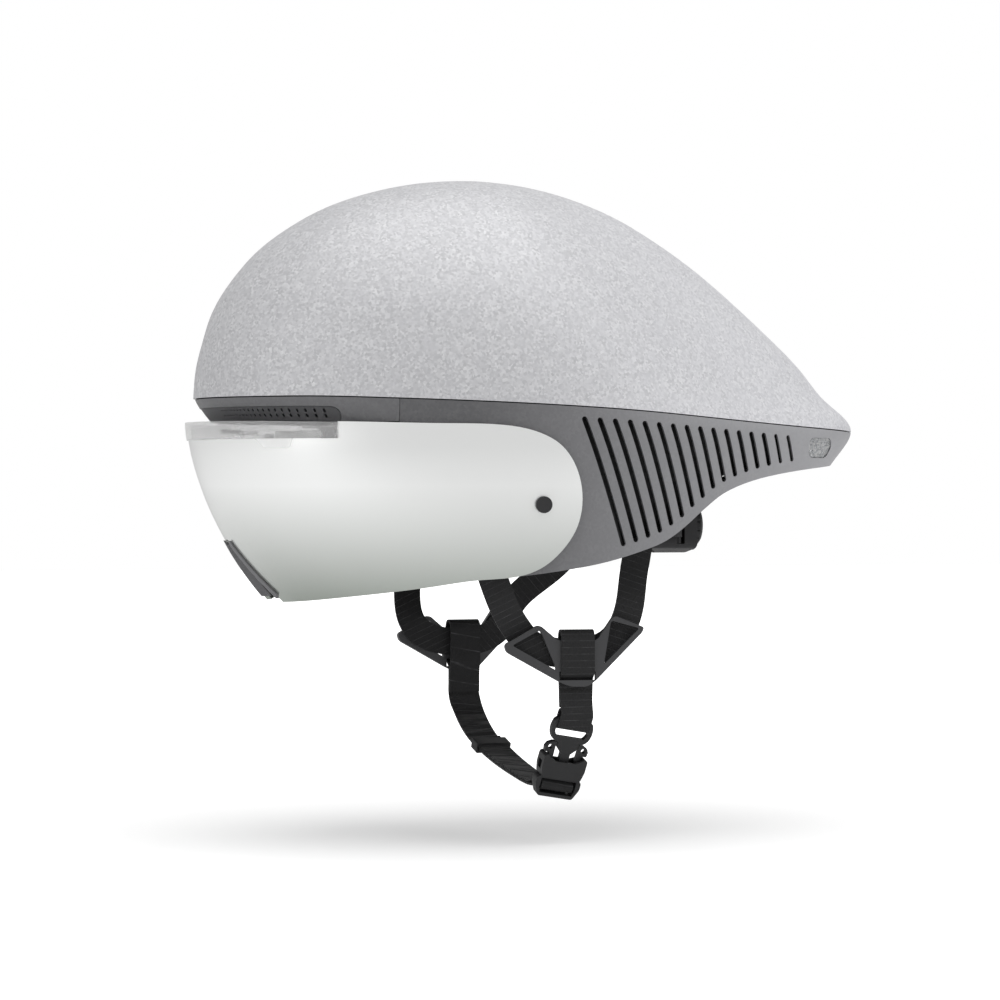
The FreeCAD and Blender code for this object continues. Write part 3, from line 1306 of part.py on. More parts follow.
# The dial's pinion, with a tooth space facing each rack's middle tooth
pinion_profile = []
for k in range(PINION_TEETH):
    middle = 2 * math.pi * (k + 0.5) / PINION_TEETH
    root_half = TOOTH_SHARE * math.pi / PINION_TEETH + 0.07
    tip_half = TOOTH_SHARE * math.pi / PINION_TEETH - 0.05
    for radius, turn in ((pinion_root, middle - root_half), (pinion_tip, middle - tip_half),
                         (pinion_tip, middle + tip_half), (pinion_root, middle + root_half)):
        pinion_profile.append((radius * math.sin(turn), radius * math.cos(turn)))
pinion_start = left_plate_y
pinion = polygon_prism([(x, pinion_start, DIAL_Z + z) for x, z in pinion_profile], (0, channel_end - PLATE_GAP - pinion_start, 0))
housing_rear_end = channel_end + 7.0
KNOB_GAP = 0.6
shaft_end = housing_rear_end + KNOB_GAP + 5.0
SQUARE_HALF = 2.0
shaft = Part.makeCylinder(SHAFT_RADIUS, housing_rear_end + 0.3 - channel_end + PLATE_GAP, Vector(0, channel_end - PLATE_GAP, DIAL_Z),
                          Vector(0, 1, 0))
square_end = box((-SQUARE_HALF, housing_rear_end, DIAL_Z - SQUARE_HALF), (SQUARE_HALF, shaft_end, DIAL_Z + SQUARE_HALF))
front_boss = Part.makeCylinder(SHAFT_RADIUS, 3.0, Vector(0, pinion_start - 3.0, DIAL_Z), Vector(0, 1, 0))
keep("dial_pinion", joined([pinion, shaft, square_end, front_boss]))

# The housing that clamps over the yoke
yoke_room = thick_patch(yoke_point, spread(YOKE_BOTTOM_Z - 6, YOKE_TOP_Z + 6, 4), yoke_turns, -9.0, YOKE_WALL + GAP)
HOUSING_OUTLINE = [
    (-HOUSING_HALF_WIDTH, HOUSING_BOTTOM_Z + 3), (-14, HOUSING_BOTTOM_Z), (14, HOUSING_BOTTOM_Z),
    (HOUSING_HALF_WIDTH, HOUSING_BOTTOM_Z + 3), (HOUSING_HALF_WIDTH, HOUSING_TOP_Z - 2), (14, HOUSING_TOP_Z),
    (-14, HOUSING_TOP_Z), (-HOUSING_HALF_WIDTH, HOUSING_TOP_Z - 2),
]
outline = rounded_polygon(HOUSING_OUTLINE, 4.0)
front_shell = polygon_prism([(x, housing_front_low_y, z) for x, z in outline], (0, housing_split - 0.05 - housing_front_low_y, 0))
front_shell = front_shell.cut(yoke_room)
SHAFT_HOLE = SHAFT_RADIUS + SHAFT_GAP
front_shell = front_shell.cut(Part.makeCylinder(SHAFT_HOLE, 3.2, Vector(0, pinion_start - 3.2, DIAL_Z), Vector(0, 1, 0)))
rear_shell = polygon_prism([(x, housing_split + 0.05, z) for x, z in outline], (0, housing_rear_end - housing_split - 0.05, 0))
channel = box((-50, housing_split - 1, band_low - 0.25), (50, channel_end, band_high + 0.25))
rear_shell = rear_shell.cut(channel)
rear_shell = rear_shell.cut(Part.makeCylinder(SHAFT_HOLE, 20, Vector(0, housing_split, DIAL_Z), Vector(0, 1, 0)))
DETENT_RADIUS = 10.0
detent_room = Part.makeCylinder(DETENT_RADIUS + BOND_GAP, 2.6, Vector(0, housing_rear_end - 2.5, DIAL_Z), Vector(0, 1, 0))
rear_shell = rear_shell.cut(detent_room)
SCREW_X = 27.0
SCREW_RADIUS = 1.0
SCREW_HEAD = 1.9
screws = []
for side in (-1, 1):
    for z in (HOUSING_BOTTOM_Z + 3.6,):
        base = Vector(side * SCREW_X, housing_rear_end, z)
        stem = Part.makeCylinder(SCREW_RADIUS, 12.0, base - Vector(0, 12.6, 0), Vector(0, 1, 0))
        head = Part.makeCylinder(SCREW_HEAD, 1.4, base - Vector(0, 1.5, 0), Vector(0, 1, 0))
        screws.append(joined([stem, head]).cut(box((base.x - 2.2, base.y - 0.7, z - 0.3), (base.x + 2.2, base.y + 1, z + 0.3))))
        hole = joined([
            Part.makeCylinder(SCREW_RADIUS + BOND_GAP, 14.0, base - Vector(0, 12.8, 0), Vector(0, 1, 0)),
            Part.makeCylinder(SCREW_HEAD + BOND_GAP, 4.0, base - Vector(0, 1.6, 0), Vector(0, 1, 0)),
        ])
        rear_shell = rear_shell.cut(hole)
        front_shell = front_shell.cut(hole)
keep("housing_front", front_shell)
keep("housing_rear", rear_shell)
keep("housing_screws", Part.makeCompound(screws))
keep("occipital_yoke", yoke)

# Click ring in the housing and the dial's knob over it
detent = Part.makeCylinder(DETENT_RADIUS, 2.3, Vector(0, housing_rear_end - 2.4, DIAL_Z), Vector(0, 1, 0))
detent = detent.cut(Part.makeCylinder(7.4, 9, Vector(0, housing_rear_end - 5, DIAL_Z), Vector(0, 1, 0)))
CLICKS = 24
notches = []
for k in range(CLICKS):
    turn = 2 * math.pi * k / CLICKS
    notches.append(Part.makeCylinder(0.6, 1.2, Vector(8.7 * math.sin(turn), housing_rear_end - 1.1, DIAL_Z + 8.7 * math.cos(turn)),
                                     Vector(0, 1, 0)))
keep("click_ring", detent.cut(Part.makeCompound(notches)))

knob_start = housing_rear_end + KNOB_GAP
knob_end = knob_start + DIAL_DEPTH
profile = [(0, knob_end), (6.0, knob_end - 0.3), (9.6, knob_end - 1.2), (11.8, knob_end - 3.0), (11.8, knob_start), (0, knob_start)]
points = [Vector(r, y, 0) for r, y in profile]
knob = Part.Face(Part.makePolygon(points + points[:1])).revolve(Vector(0, 0, 0), Vector(0, 1, 0), 360)
knob.translate(Vector(0, 0, DIAL_Z))
square_hole = box((-SQUARE_HALF - SHAFT_GAP, knob_start - 1, DIAL_Z - SQUARE_HALF - SHAFT_GAP),
                  (SQUARE_HALF + SHAFT_GAP, shaft_end + 0.1, DIAL_Z + SQUARE_HALF + SHAFT_GAP))
keep("dial_knob", knob.cut(square_hole))
grip_start = knob_start + 1.2
GRIP_LENGTH = 7.6
grip = Part.makeCylinder(DIAL_RADIUS, GRIP_LENGTH, Vector(0, grip_start, DIAL_Z), Vector(0, 1, 0))
grip = grip.cut(Part.makeCylinder(11.8 + BOND_GAP, GRIP_LENGTH + 2, Vector(0, grip_start - 1, DIAL_Z), Vector(0, 1, 0)))
FLUTES = 18
flutes = []
for k in range(FLUTES):
    turn = 2 * math.pi * k / FLUTES
    flutes.append(Part.makeCylinder(1.1, GRIP_LENGTH + 2, Vector((DIAL_RADIUS + 0.4) * math.sin(turn), grip_start - 1,
                                    DIAL_Z + (DIAL_RADIUS + 0.4) * math.cos(turn)), Vector(0, 1, 0)))
keep("dial_grip", grip.cut(Part.makeCompound(flutes)))

# Pads on the yoke and the strip that hangs it from the liner
for name, first, last in (("cradle_pad_left", 8, 31), ("cradle_pad_right", -31, -8)):
    turns = [math.radians(a) for a in spread(first, last, 7)]
    keep(name, thick_patch(yoke_point, spread(YOKE_BOTTOM_Z + 4, YOKE_TOP_Z - 5, 4), turns, -GAP - PAD_THICKNESS, -GAP))
HANGER_WIDTH = 10.0
strip_y = YOKE_HALF_LENGTH + YOKE_WALL + GAP + WEB_THICKNESS / 2
hanger_points = [Vector(0, strip_y, z) for z in (-34.5, -30, -24, -18)]
hanger_points += [head_point(z, 0.0) - Vector(0, GAP + WEB_THICKNESS / 2, 0) for z in (-10, -4, 2, 8)]
hanger = ribbon(hanger_points, [Vector(0, 1, 0)] * len(hanger_points), HANGER_WIDTH, WEB_THICKNESS)
keep("hanger_strip", hanger.cut(hanger_wall.cylinder(0, 0, PIN_RADIUS + BOND_GAP, -3, 6)))

# The bands' arms, from their racks round the head to the temples
ARM_THICKNESS = 1.4


def band_arm(plate_y, anchor):
    middle_y = plate_y + BAND_PLATE / 2
    start = Vector(BAND_OUTER_END - 2.0, middle_y, DIAL_Z)
    route = [
        (36.5, middle_y - 0.4, DIAL_Z), (41.2, 105.5, DIAL_Z), (44.3, 95, -50.3), (48.5, 82, -49.6), (58.8, 65, -46.8),
        (70.5, 41.8, -41.2), (78.2, 15.4, -36.0),
    ]
    finish = [anchor.at(w, 0, GAP + ARM_THICKNESS / 2) for w in (-10, 0, 8)]
    if finish[0].y < finish[-1].y:
        finish.reverse()
    points = through([start] + [Vector(*p) for p in route] + finish, 34)
    normals = edgewise(points, [Vector(0, 0, 1)] * len(points))
    arm_ribbon = ribbon(points, normals, ARM_HEIGHT, ARM_THICKNESS)
    return arm_ribbon.cut(anchor.cylinder(0, 0, PIN_RADIUS + BOND_GAP, -3, 6))


outside_rack = box((BAND_OUTER_END + 0.05, -60, -120), (130, 140, 0))
left_arm = band_arm(left_plate_y, temple).common(outside_rack)
right_arm = band_arm(right_plate_y, temple).common(outside_rack)
keep("band_arm_left", left_arm)
keep("band_arm_right", mirrored(right_arm))

os.makedirs("parts", exist_ok=True)
for name, shape in nodes.items():
    shape.exportStep("parts/" + name + ".step")
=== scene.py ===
import math

import bpy
from bpy.props import FloatProperty, FloatVectorProperty, PointerProperty
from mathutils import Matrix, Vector


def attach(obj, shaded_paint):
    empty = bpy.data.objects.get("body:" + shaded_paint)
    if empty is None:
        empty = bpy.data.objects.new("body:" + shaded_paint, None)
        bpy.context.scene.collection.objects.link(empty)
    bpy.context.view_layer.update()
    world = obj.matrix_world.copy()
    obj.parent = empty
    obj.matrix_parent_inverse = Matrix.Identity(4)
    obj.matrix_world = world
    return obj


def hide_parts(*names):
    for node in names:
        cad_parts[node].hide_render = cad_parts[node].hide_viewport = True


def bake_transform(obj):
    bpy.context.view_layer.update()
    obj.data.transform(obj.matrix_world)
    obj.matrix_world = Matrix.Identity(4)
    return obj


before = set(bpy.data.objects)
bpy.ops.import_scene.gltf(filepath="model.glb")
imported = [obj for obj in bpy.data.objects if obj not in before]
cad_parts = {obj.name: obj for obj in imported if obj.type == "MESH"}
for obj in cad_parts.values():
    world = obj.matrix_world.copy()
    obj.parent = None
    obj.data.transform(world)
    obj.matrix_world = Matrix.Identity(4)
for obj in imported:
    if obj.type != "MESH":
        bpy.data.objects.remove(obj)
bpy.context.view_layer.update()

bl_info = {
    "name": "Time trial helmet",
    "version": (1, 0, 0),
    "blender": (4, 5, 0),
    "location": "3D View > Sidebar > Helmet",
    "description": "Dresses the helmet's frame and sets its studio",
    "category": "Object",
}

# Nodes that share one material
COVERS = ["side_cover_left", "side_cover_right"]
WINDOWS = ["tail_window_left", "tail_window_right"]
MAGNETS = ["side_seat_magnets", "brow_magnets", "visor_magnets"]
NOSE_STRIPS = ["nose_strip_left", "nose_strip_right"]
BUTTONS = ["visor_button_left", "visor_button_right"]
DIVIDERS = ["strap_divider_left", "strap_divider_right"]
BUCKLE_PARTS = ["buckle_plug", "buckle_socket", "release_arm_front", "release_arm_rear"]
FIT_PARTS = [
    "strap_anchors", "temple_pins", "hanger_pin", "band_rack_left", "band_rack_right", "dial_pinion",
    "housing_front", "housing_rear", "occipital_yoke", "click_ring", "dial_knob", "bracket_clips",
]
BEVELLED_FIT_PARTS = ["housing_front", "housing_rear", "dial_knob"]
PADS = [
    "brow_pad", "side_pad_left", "side_pad_right", "crown_pad_left", "crown_pad_right", "rear_pad",
    "cradle_pad_left", "cradle_pad_right",
]

# Straps that keep their CAD shape: the direction they run in, which their ribs are square to
STRAP_RUNS = {
    "strap_front_left": (0.0, 0.42, -0.9),
    "strap_rear_left": (0.0, -0.32, -0.95),
    "strap_front_right": (0.0, 0.4, -0.92),
    "strap_rear_right": (0.0, -0.75, -0.66),
    "lower_strap_left": (0.0, 0.0, -1.0),
    "hanger_strip": (0.0, 0.0, -1.0),
}
CHIN_STRAP_RUN = (0.9, 0.0, -0.44)
# Height of the bar tack that closes a folded strap end, in metres
BAR_TACKS = {"lower_strap_left": -0.134, "chin_strap": -0.144}

# The photo's camera: the direction towards it, and the point in the middle of the picture
TOWARD_CAMERA = Vector((0.9613, -0.2756, 0.0))
PICTURE_CENTRE = Vector((0.00584, 0.02038, -0.037))
SENSOR_WIDTH = 36.0

# Each lamp: place in metres, disc diameter in metres, power in watts
LAMPS = {
    "overhead softbox": ((0.3, 0.1, 1.4), 1.8, 14.0),
    "front softbox": ((1.0, -1.7, 0.6), 1.5, 5.5),
    "rear softbox": ((0.9, 1.6, 0.6), 1.2, 4.0),
}
LAMP_TARGET = Vector((0.0, 0.03, 0.0))

# Where a colour starts and ends its change, in metres: along Y for the painted shade and light on the
# shell, the covers and the brow, along Z for the painted reflection on the lens
# The shell darkens from the tail towards the front and the middle: painted shade
SHELL_SHADE_FADE = (-0.02, 0.20)
# The covers' fade is painted shade beside the lens and painted light at the tail, over one grey paint
COVER_LIGHT_FADE = (-0.02, 0.19)
# The brow's grey fades at its sides into the covers' painted shade
BROW_SHADE_FADE = (-0.10, 0.0)
# The lens's fade is a painted reflection: bright at the top, darker and greener low down
LENS_REFLECTION_FADE = (-0.088, -0.030)

# How far the flecks stand out from the paint: clearly on the shell, barely on the covers and the brow
SHELL_FLECKS = 0.30
COVER_FLECKS = 0.03

# Widths of the fine textures, in metres
PLASTIC_PATCH = 0.02
PLASTIC_GRAIN = 0.000625
LENS_WAVE = 0.05
MOTTLE = 1 / 600
STRAP_WEAR = 0.00625
WEAVE = 1 / 1400
CLOTH_NAP = 0.0008
RUBBER_BLOOM = 0.004
RUBBER_GRAIN = 0.0005
METAL_MARK = 0.000625
PAPER_FIBRE = 0.01

# Half the height of a bar tack's thread, its soft edge, and the reach of its zigzag, in metres
TACK_CORE = 0.0005
TACK_EDGE = 0.0009
TACK_ZIGZAG = 0.0009

# The moulded edges and the shading of copied pieces
BEVEL_SEGMENTS = 2
BEVEL_ANGLE = math.radians(40)
SMOOTH_ANGLE = math.radians(35)
MERGE_DISTANCE = 0.00001
PAD_SMOOTHING = 0.5
PAD_SMOOTHING_ROUNDS = 9

# The floor's width, and its glow near the helmet and further off, each with its distance, in metres
FLOOR_WIDTH = 12.0
GLOW_NEAR = 0.24
GLOW_FAR = 1.0
GLOW_NEAR_END = 0.30
GLOW_FAR_START = 0.75
WORLD_LIGHT = 0.62

WHITE = (1.0, 1.0, 1.0, 1.0)


def linear(code):
    """A hex sRGB colour as linear light, with full alpha."""
    levels = [int(code[i:i + 2], 16) / 255 for i in (0, 2, 4)]
    return (*[c / 12.92 if c <= 0.04045 else ((c + 0.055) / 1.055) ** 2.4 for c in levels], 1.0)


def colour_setting(name, code, description):
    return FloatVectorProperty(
        name=name, description=description, subtype="COLOR", size=4, min=0.0, max=1.0, default=linear(code),
    )


def length_setting(name, metres, low, high, description):
    return FloatProperty(
        name=name, description=description, subtype="DISTANCE", unit="LENGTH", min=low, max=high,
        default=metres, precision=4,
    )


class HelmetSettings(bpy.types.PropertyGroup):
    """The helmet's colours and the sizes of its textures and its studio"""
    # The shell's front colour carries painted shade, darker than its tail colour
    shell_front_painted_shade: colour_setting("Shell", "BDBDC0", "Shell paint at the brow")
    shell_tail: colour_setting("Shell at tail", "D2D2D6", "Shell paint at the tail")
    brow: colour_setting("Brow", "69696B", "Paint of the brow band")
    # Cover colours: painted shade beside the lens, painted light at the tail
    cover_front_painted_shade: colour_setting("Side covers", "59595B", "Side cover paint beside the lens")
    cover_tail_painted_light: colour_setting("Side covers at tail", "A2A2A5", "Side cover paint at the tail")
    insert: colour_setting("Brow insert", "454547", "Plastic of the perforated brow insert")
    # The lens colours are a painted reflection on the silver film
    lens_painted_reflection_top: colour_setting("Lens", "F8F9F8", "Mirror film along the top of the lens")
    lens_painted_reflection_low: colour_setting("Lens low", "999F98", "Mirror film along the bottom of the lens")
    plastic: colour_setting("Black plastic", "19191B", "Plastic of the fit system and the buttons")
    buckle: colour_setting("Buckle", "111113", "Plastic of the buckle")
    divider: colour_setting("Dividers", "38383A", "Plastic of the strap dividers")
    webbing: colour_setting("Webbing", "0B0B0D", "Webbing between its ribs")
    rib: colour_setting("Webbing rib", "4A4A4C", "Pick thread of each rib")
    rib_pitch: length_setting("Rib pitch", 0.0034, 0.001, 0.01, "Distance between two ribs of the webbing")
    bead_size: length_setting("Foam bead size", 0.0032, 0.001, 0.01, "Width of one bead of the foam")
    fleck_size: length_setting("Fleck size", 0.0012, 0.0002, 0.01, "Width of one metal fleck in the paint")
    edge_bevel: length_setting("Moulded edge", 0.0004, 0.0001, 0.002, "Width of a moulded part's soft edge")
    pad_voxel: length_setting("Pad mesh size", 0.0022, 0.001, 0.006, "Mesh size of the pads")
    floor_height: length_setting("Floor height", -0.215, -1.0, 0.0, "Height of the studio floor")
    camera_distance: length_setting("Camera distance", 1.6, 0.5, 5.0, "From the camera to the helmet")
    view_width: length_setting("View width", 0.53, 0.1, 2.0, "Width of the picture at the helmet")


def settings():
    return bpy.context.scene.helmet


def add_node(tree, kind, inputs=None, **options):
    """Add a node, set its options, and link or set each input given by name or number."""
    node = tree.nodes.new(kind)
    for name, value in options.items():
        setattr(node, name, value)
    for name, value in (inputs or {}).items():
        if isinstance(value, bpy.types.NodeSocket):
            tree.links.new(value, node.inputs[name])
        else:
            node.inputs[name].default_value = value
    return node


def new_material(name):
    """An empty material, its node tree and the object's coordinates in it."""
    material = bpy.data.materials.new(name)
    material.use_nodes = True
    tree = material.node_tree
    tree.nodes.clear()
    place = add_node(tree, "ShaderNodeTexCoord").outputs["Object"]
    return material, tree, place


def set_surface(tree, inputs):
    shader = add_node(tree, "ShaderNodeBsdfPrincipled", inputs)
    add_node(tree, "ShaderNodeOutputMaterial", {"Surface": shader.outputs[0]})


def between(tree, value, low, high, one, two):
    """The colour that goes from one to two while value goes from low to high."""
    share = add_node(tree, "ShaderNodeMapRange", {"Value": value, "From Min": low, "From Max": high})
    mix = add_node(tree, "ShaderNodeMix", {0: share.outputs[0], 6: one, 7: two}, data_type="RGBA")
    return mix.outputs[2]


def lighter(colour, step):
    """The same colour with each linear level raised by a step."""
    return (*[min(1.0, level + step) for level in colour[:3]], 1.0)


def paint_material(name, front, tail, fade, contrast):
    """Matt sprayed paint with metal flecks: a pale and dark speckle under satin, paler at the tail; the
    change from front to tail is painted shade and light.
    """
    material, tree, place = new_material(name)
    size = settings().fleck_size
    split = add_node(tree, "ShaderNodeSeparateXYZ", {"Vector": place})
    # The paint colour along the helmet, carrying painted shade at the front and painted light towards the
    # tail
    shaded_paint = between(tree, split.outputs["Y"], *fade, front, tail)
    cells = add_node(tree, "ShaderNodeTexVoronoi", {"Vector": place, "Scale": 1 / size})
    tone = add_node(tree, "ShaderNodeSeparateColor", {"Color": cells.outputs["Color"]})
    pale = add_node(tree, "ShaderNodeMix", {0: contrast, 6: shaded_paint, 7: WHITE}, data_type="RGBA")
    shadow = linear("303034")
    dark = add_node(tree, "ShaderNodeMix", {0: contrast * 0.6, 6: shaded_paint, 7: shadow}, data_type="RGBA")
    flecked = between(tree, tone.outputs[0], 0.0, 1.0, dark.outputs[2], pale.outputs[2])
    clouds = add_node(tree, "ShaderNodeTexNoise", {
        "Vector": place, "Scale": 1 / (size * 5), "Detail": 3.0,
    })
    colour = between(tree, clouds.outputs["Fac"], 0.3, 0.9, flecked, shaded_paint)
    grain = add_node(tree, "ShaderNodeTexNoise", {"Vector": place, "Scale": 2 / size, "Detail": 2.0})
    bump = add_node(tree, "ShaderNodeBump", {
        "Height": grain.outputs["Fac"], "Distance": 0.00004, "Strength": 0.3,
    })
    set_surface(tree, {
        "Base Color": colour, "Metallic": 0.2, "Roughness": 0.52, "Coat Weight": 0.12,
        "Coat Roughness": 0.35, "Normal": bump.outputs[0],
    })
    return material


def moulded_material(name, colour, roughness):
    """Injection moulded plastic: spark eroded grain, with patches that handling has polished a little."""
    material, tree, place = new_material(name)
    patches = add_node(tree, "ShaderNodeTexNoise", {
        "Vector": place, "Scale": 1 / PLASTIC_PATCH, "Detail": 4.0,
    })
    tint = between(tree, patches.outputs["Fac"], 0.35, 0.8, colour, lighter(colour, 0.006))
    rough = add_node(tree, "ShaderNodeMapRange", {
        "Value": patches.outputs["Fac"], "To Min": roughness - 0.08, "To Max": roughness + 0.10,
    })
    grain = add_node(tree, "ShaderNodeTexNoise", {
        "Vector": place, "Scale": 1 / PLASTIC_GRAIN, "Detail": 2.0,
    })
    bump = add_node(tree, "ShaderNodeBump", {
        "Height": grain.outputs["Fac"], "Distance": 0.00005, "Strength": 0.35,
    })
    set_surface(tree, {"Base Color": tint, "Roughness": rough.outputs[0], "Normal": bump.outputs[0]})
    return material


def lens_material():
    """Vacuum deposited silver film on polycarbonate: a soft bright mirror, with a painted reflection in its
    colour that is darker and greener low down.
    """
    material, tree, place = new_material("silver mirror film with painted reflection on polycarbonate")
    split = add_node(tree, "ShaderNodeSeparateXYZ", {"Vector": place})
    # Painted reflection: the film's colour goes from bright at the top to darker and greener low down
    colour = between(tree, split.outputs["Z"], *LENS_REFLECTION_FADE, settings().lens_painted_reflection_low, settings().lens_painted_reflection_top)
    waves = add_node(tree, "ShaderNodeTexNoise", {"Vector": place, "Scale": 1 / LENS_WAVE, "Detail": 1.0})
    bump = add_node(tree, "ShaderNodeBump", {
        "Height": waves.outputs["Fac"], "Distance": 0.0001, "Strength": 0.08,
    })
    set_surface(tree, {
        "Base Color": colour, "Metallic": 0.7, "Roughness": 0.30, "Coat Weight": 0.25,
        "Coat Roughness": 0.08, "Normal": bump.outputs[0],
    })
    return material


def clear_material(name, tint, roughness, alpha):
    """Clear moulded polycarbonate: see-through, with a mottled inner face that catches the light."""
    material, tree, place = new_material(name)
    cells = add_node(tree, "ShaderNodeTexVoronoi", {"Vector": place, "Scale": 1 / MOTTLE})
    colour = between(tree, cells.outputs["Distance"], 0.1, 0.8, tint, linear("F2F2F2"))
    bump = add_node(tree, "ShaderNodeBump", {
        "Height": cells.outputs["Distance"], "Distance": 0.0001, "Strength": 0.3,
    })
    set_surface(tree, {
        "Base Color": colour, "Roughness": roughness, "Transmission Weight": 0.6, "IOR": 1.585,
        "Alpha": alpha, "Normal": bump.outputs[0],
    })
    return material


def foam_material():
    """Moulded bead foam: black beads pressed together, with a darker line where two meet."""
    material, tree, place = new_material("moulded black bead foam")
    beads = add_node(tree, "ShaderNodeTexVoronoi", {"Vector": place, "Scale": 1 / settings().bead_size})
    colour = between(tree, beads.outputs["Distance"], 0.35, 0.75, linear("202022"), linear("0B0B0C"))
    bump = add_node(tree, "ShaderNodeBump", {
        "Height": beads.outputs["Distance"], "Distance": 0.0005, "Strength": 0.5,
    }, invert=True)
    set_surface(tree, {"Base Color": colour, "Roughness": 0.7, "Normal": bump.outputs[0]})
    return material


def webbing_material(name, run, tack_height=None):
    """Woven black polyester webbing: fine weave, a worn pale rib at each pitch, and a zigzag bar tack."""
    material, tree, place = new_material(name)
    pitch = settings().rib_pitch
    along = add_node(tree, "ShaderNodeVectorMath", {0: place, 1: run}, operation="DOT_PRODUCT")
    turns = add_node(tree, "ShaderNodeMath", {0: along.outputs["Value"], 1: pitch}, operation="DIVIDE")
    phase = add_node(tree, "ShaderNodeMath", {0: turns.outputs[0], 1: 0.5}, operation="PINGPONG")
    rib = add_node(tree, "ShaderNodeMapRange", {
        "Value": phase.outputs[0], "From Min": 0.06, "From Max": 0.0,
    })
    wear = add_node(tree, "ShaderNodeTexNoise", {"Vector": place, "Scale": 1 / STRAP_WEAR, "Detail": 2.0})
    worn = add_node(tree, "ShaderNodeMapRange", {
        "Value": wear.outputs["Fac"], "From Min": 0.4, "From Max": 0.65, "To Min": 0.2, "To Max": 0.9,
    })
    shown = add_node(tree, "ShaderNodeMath", {
        0: rib.outputs[0], 1: worn.outputs[0],
    }, operation="MULTIPLY")
    weave = add_node(tree, "ShaderNodeTexNoise", {"Vector": place, "Scale": 1 / WEAVE, "Detail": 2.0})
    base = settings().webbing
    cloth = between(tree, weave.outputs["Fac"], 0.3, 0.7, base, lighter(base, 0.007))
    colour = between(tree, shown.outputs[0], 0.0, 1.0, cloth, settings().rib)
    height = add_node(tree, "ShaderNodeMath", {
        0: weave.outputs["Fac"], 1: shown.outputs[0],
    }, operation="ADD")
    if tack_height is not None:
        split = add_node(tree, "ShaderNodeSeparateXYZ", {"Vector": place})
        zigzag = add_node(tree, "ShaderNodeMath", {
            0: split.outputs["Y"], 1: TACK_ZIGZAG,
        }, operation="PINGPONG")
        level = add_node(tree, "ShaderNodeMath", {
            0: split.outputs["Z"], 1: zigzag.outputs[0],
        }, operation="ADD")
        off = add_node(tree, "ShaderNodeMath", {0: level.outputs[0], 1: tack_height}, operation="SUBTRACT")
        distance = add_node(tree, "ShaderNodeMath", {0: off.outputs[0]}, operation="ABSOLUTE")
        tack = add_node(tree, "ShaderNodeMapRange", {
            "Value": distance.outputs[0], "From Min": TACK_EDGE, "From Max": TACK_CORE,
        })
        colour = between(tree, tack.outputs[0], 0.0, 1.0, colour, linear("050505"))
        height = add_node(tree, "ShaderNodeMath", {
            0: height.outputs[0], 1: tack.outputs[0],
        }, operation="ADD")
    bump = add_node(tree, "ShaderNodeBump", {
        "Height": height.outputs[0], "Distance": 0.0002, "Strength": 0.6,
    })
    set_surface(tree, {
        "Base Color": colour, "Roughness": 0.8, "Sheen Weight": 0.05, "Normal": bump.outputs[0],
    })
    return material


def cloth_material():
    """Brushed polyester pad cloth: a short soft nap that scatters light at its edges."""
    material, tree, place = new_material("brushed polyester pad cloth")
    nap = add_node(tree, "ShaderNodeTexNoise", {"Vector": place, "Scale": 1 / CLOTH_NAP, "Detail": 4.0})
    colour = between(tree, nap.outputs["Fac"], 0.3, 0.7, linear("1A1A1C"), linear("303033"))
    bump = add_node(tree, "ShaderNodeBump", {
        "Height": nap.outputs["Fac"], "Distance": 0.0003, "Strength": 0.6,
    })
    set_surface(tree, {
        "Base Color": colour, "Roughness": 0.92, "Sheen Weight": 0.35, "Normal": bump.outputs[0],
    })
    return material


def rubber_material(name, colour):
    """Moulded soft rubber: dull, with a dusty paler bloom in patches."""
    material, tree, place = new_material(name)
    bloom = add_node(tree, "ShaderNodeTexNoise", {
        "Vector": place, "Scale": 1 / RUBBER_BLOOM, "Detail": 4.0,
    })
    tint = between(tree, bloom.outputs["Fac"], 0.35, 0.7, colour, lighter(colour, 0.01))
    grain = add_node(tree, "ShaderNodeTexNoise", {
        "Vector": place, "Scale": 1 / RUBBER_GRAIN, "Detail": 2.0,
    })
    bump = add_node(tree, "ShaderNodeBump", {
        "Height": grain.outputs["Fac"], "Distance": 0.00005, "Strength": 0.4,
    })
    set_surface(tree, {"Base Color": tint, "Roughness": 0.62, "Normal": bump.outputs[0]})
    return material


def metal_material(name, colour, roughness):
    """Plated metal: a clean reflection, scattered slightly by fine finishing marks."""
    material, tree, place = new_material(name)
    marks = add_node(tree, "ShaderNodeTexNoise", {
        "Vector": place, "Scale": 1 / METAL_MARK, "Detail": 2.0,
    })
    bump = add_node(tree, "ShaderNodeBump", {
        "Height": marks.outputs["Fac"], "Distance": 0.00002, "Strength": 0.2,
    })
    set_surface(tree, {
        "Base Color": colour, "Metallic": 1.0, "Roughness": roughness, "Normal": bump.outputs[0],
    })
    return material


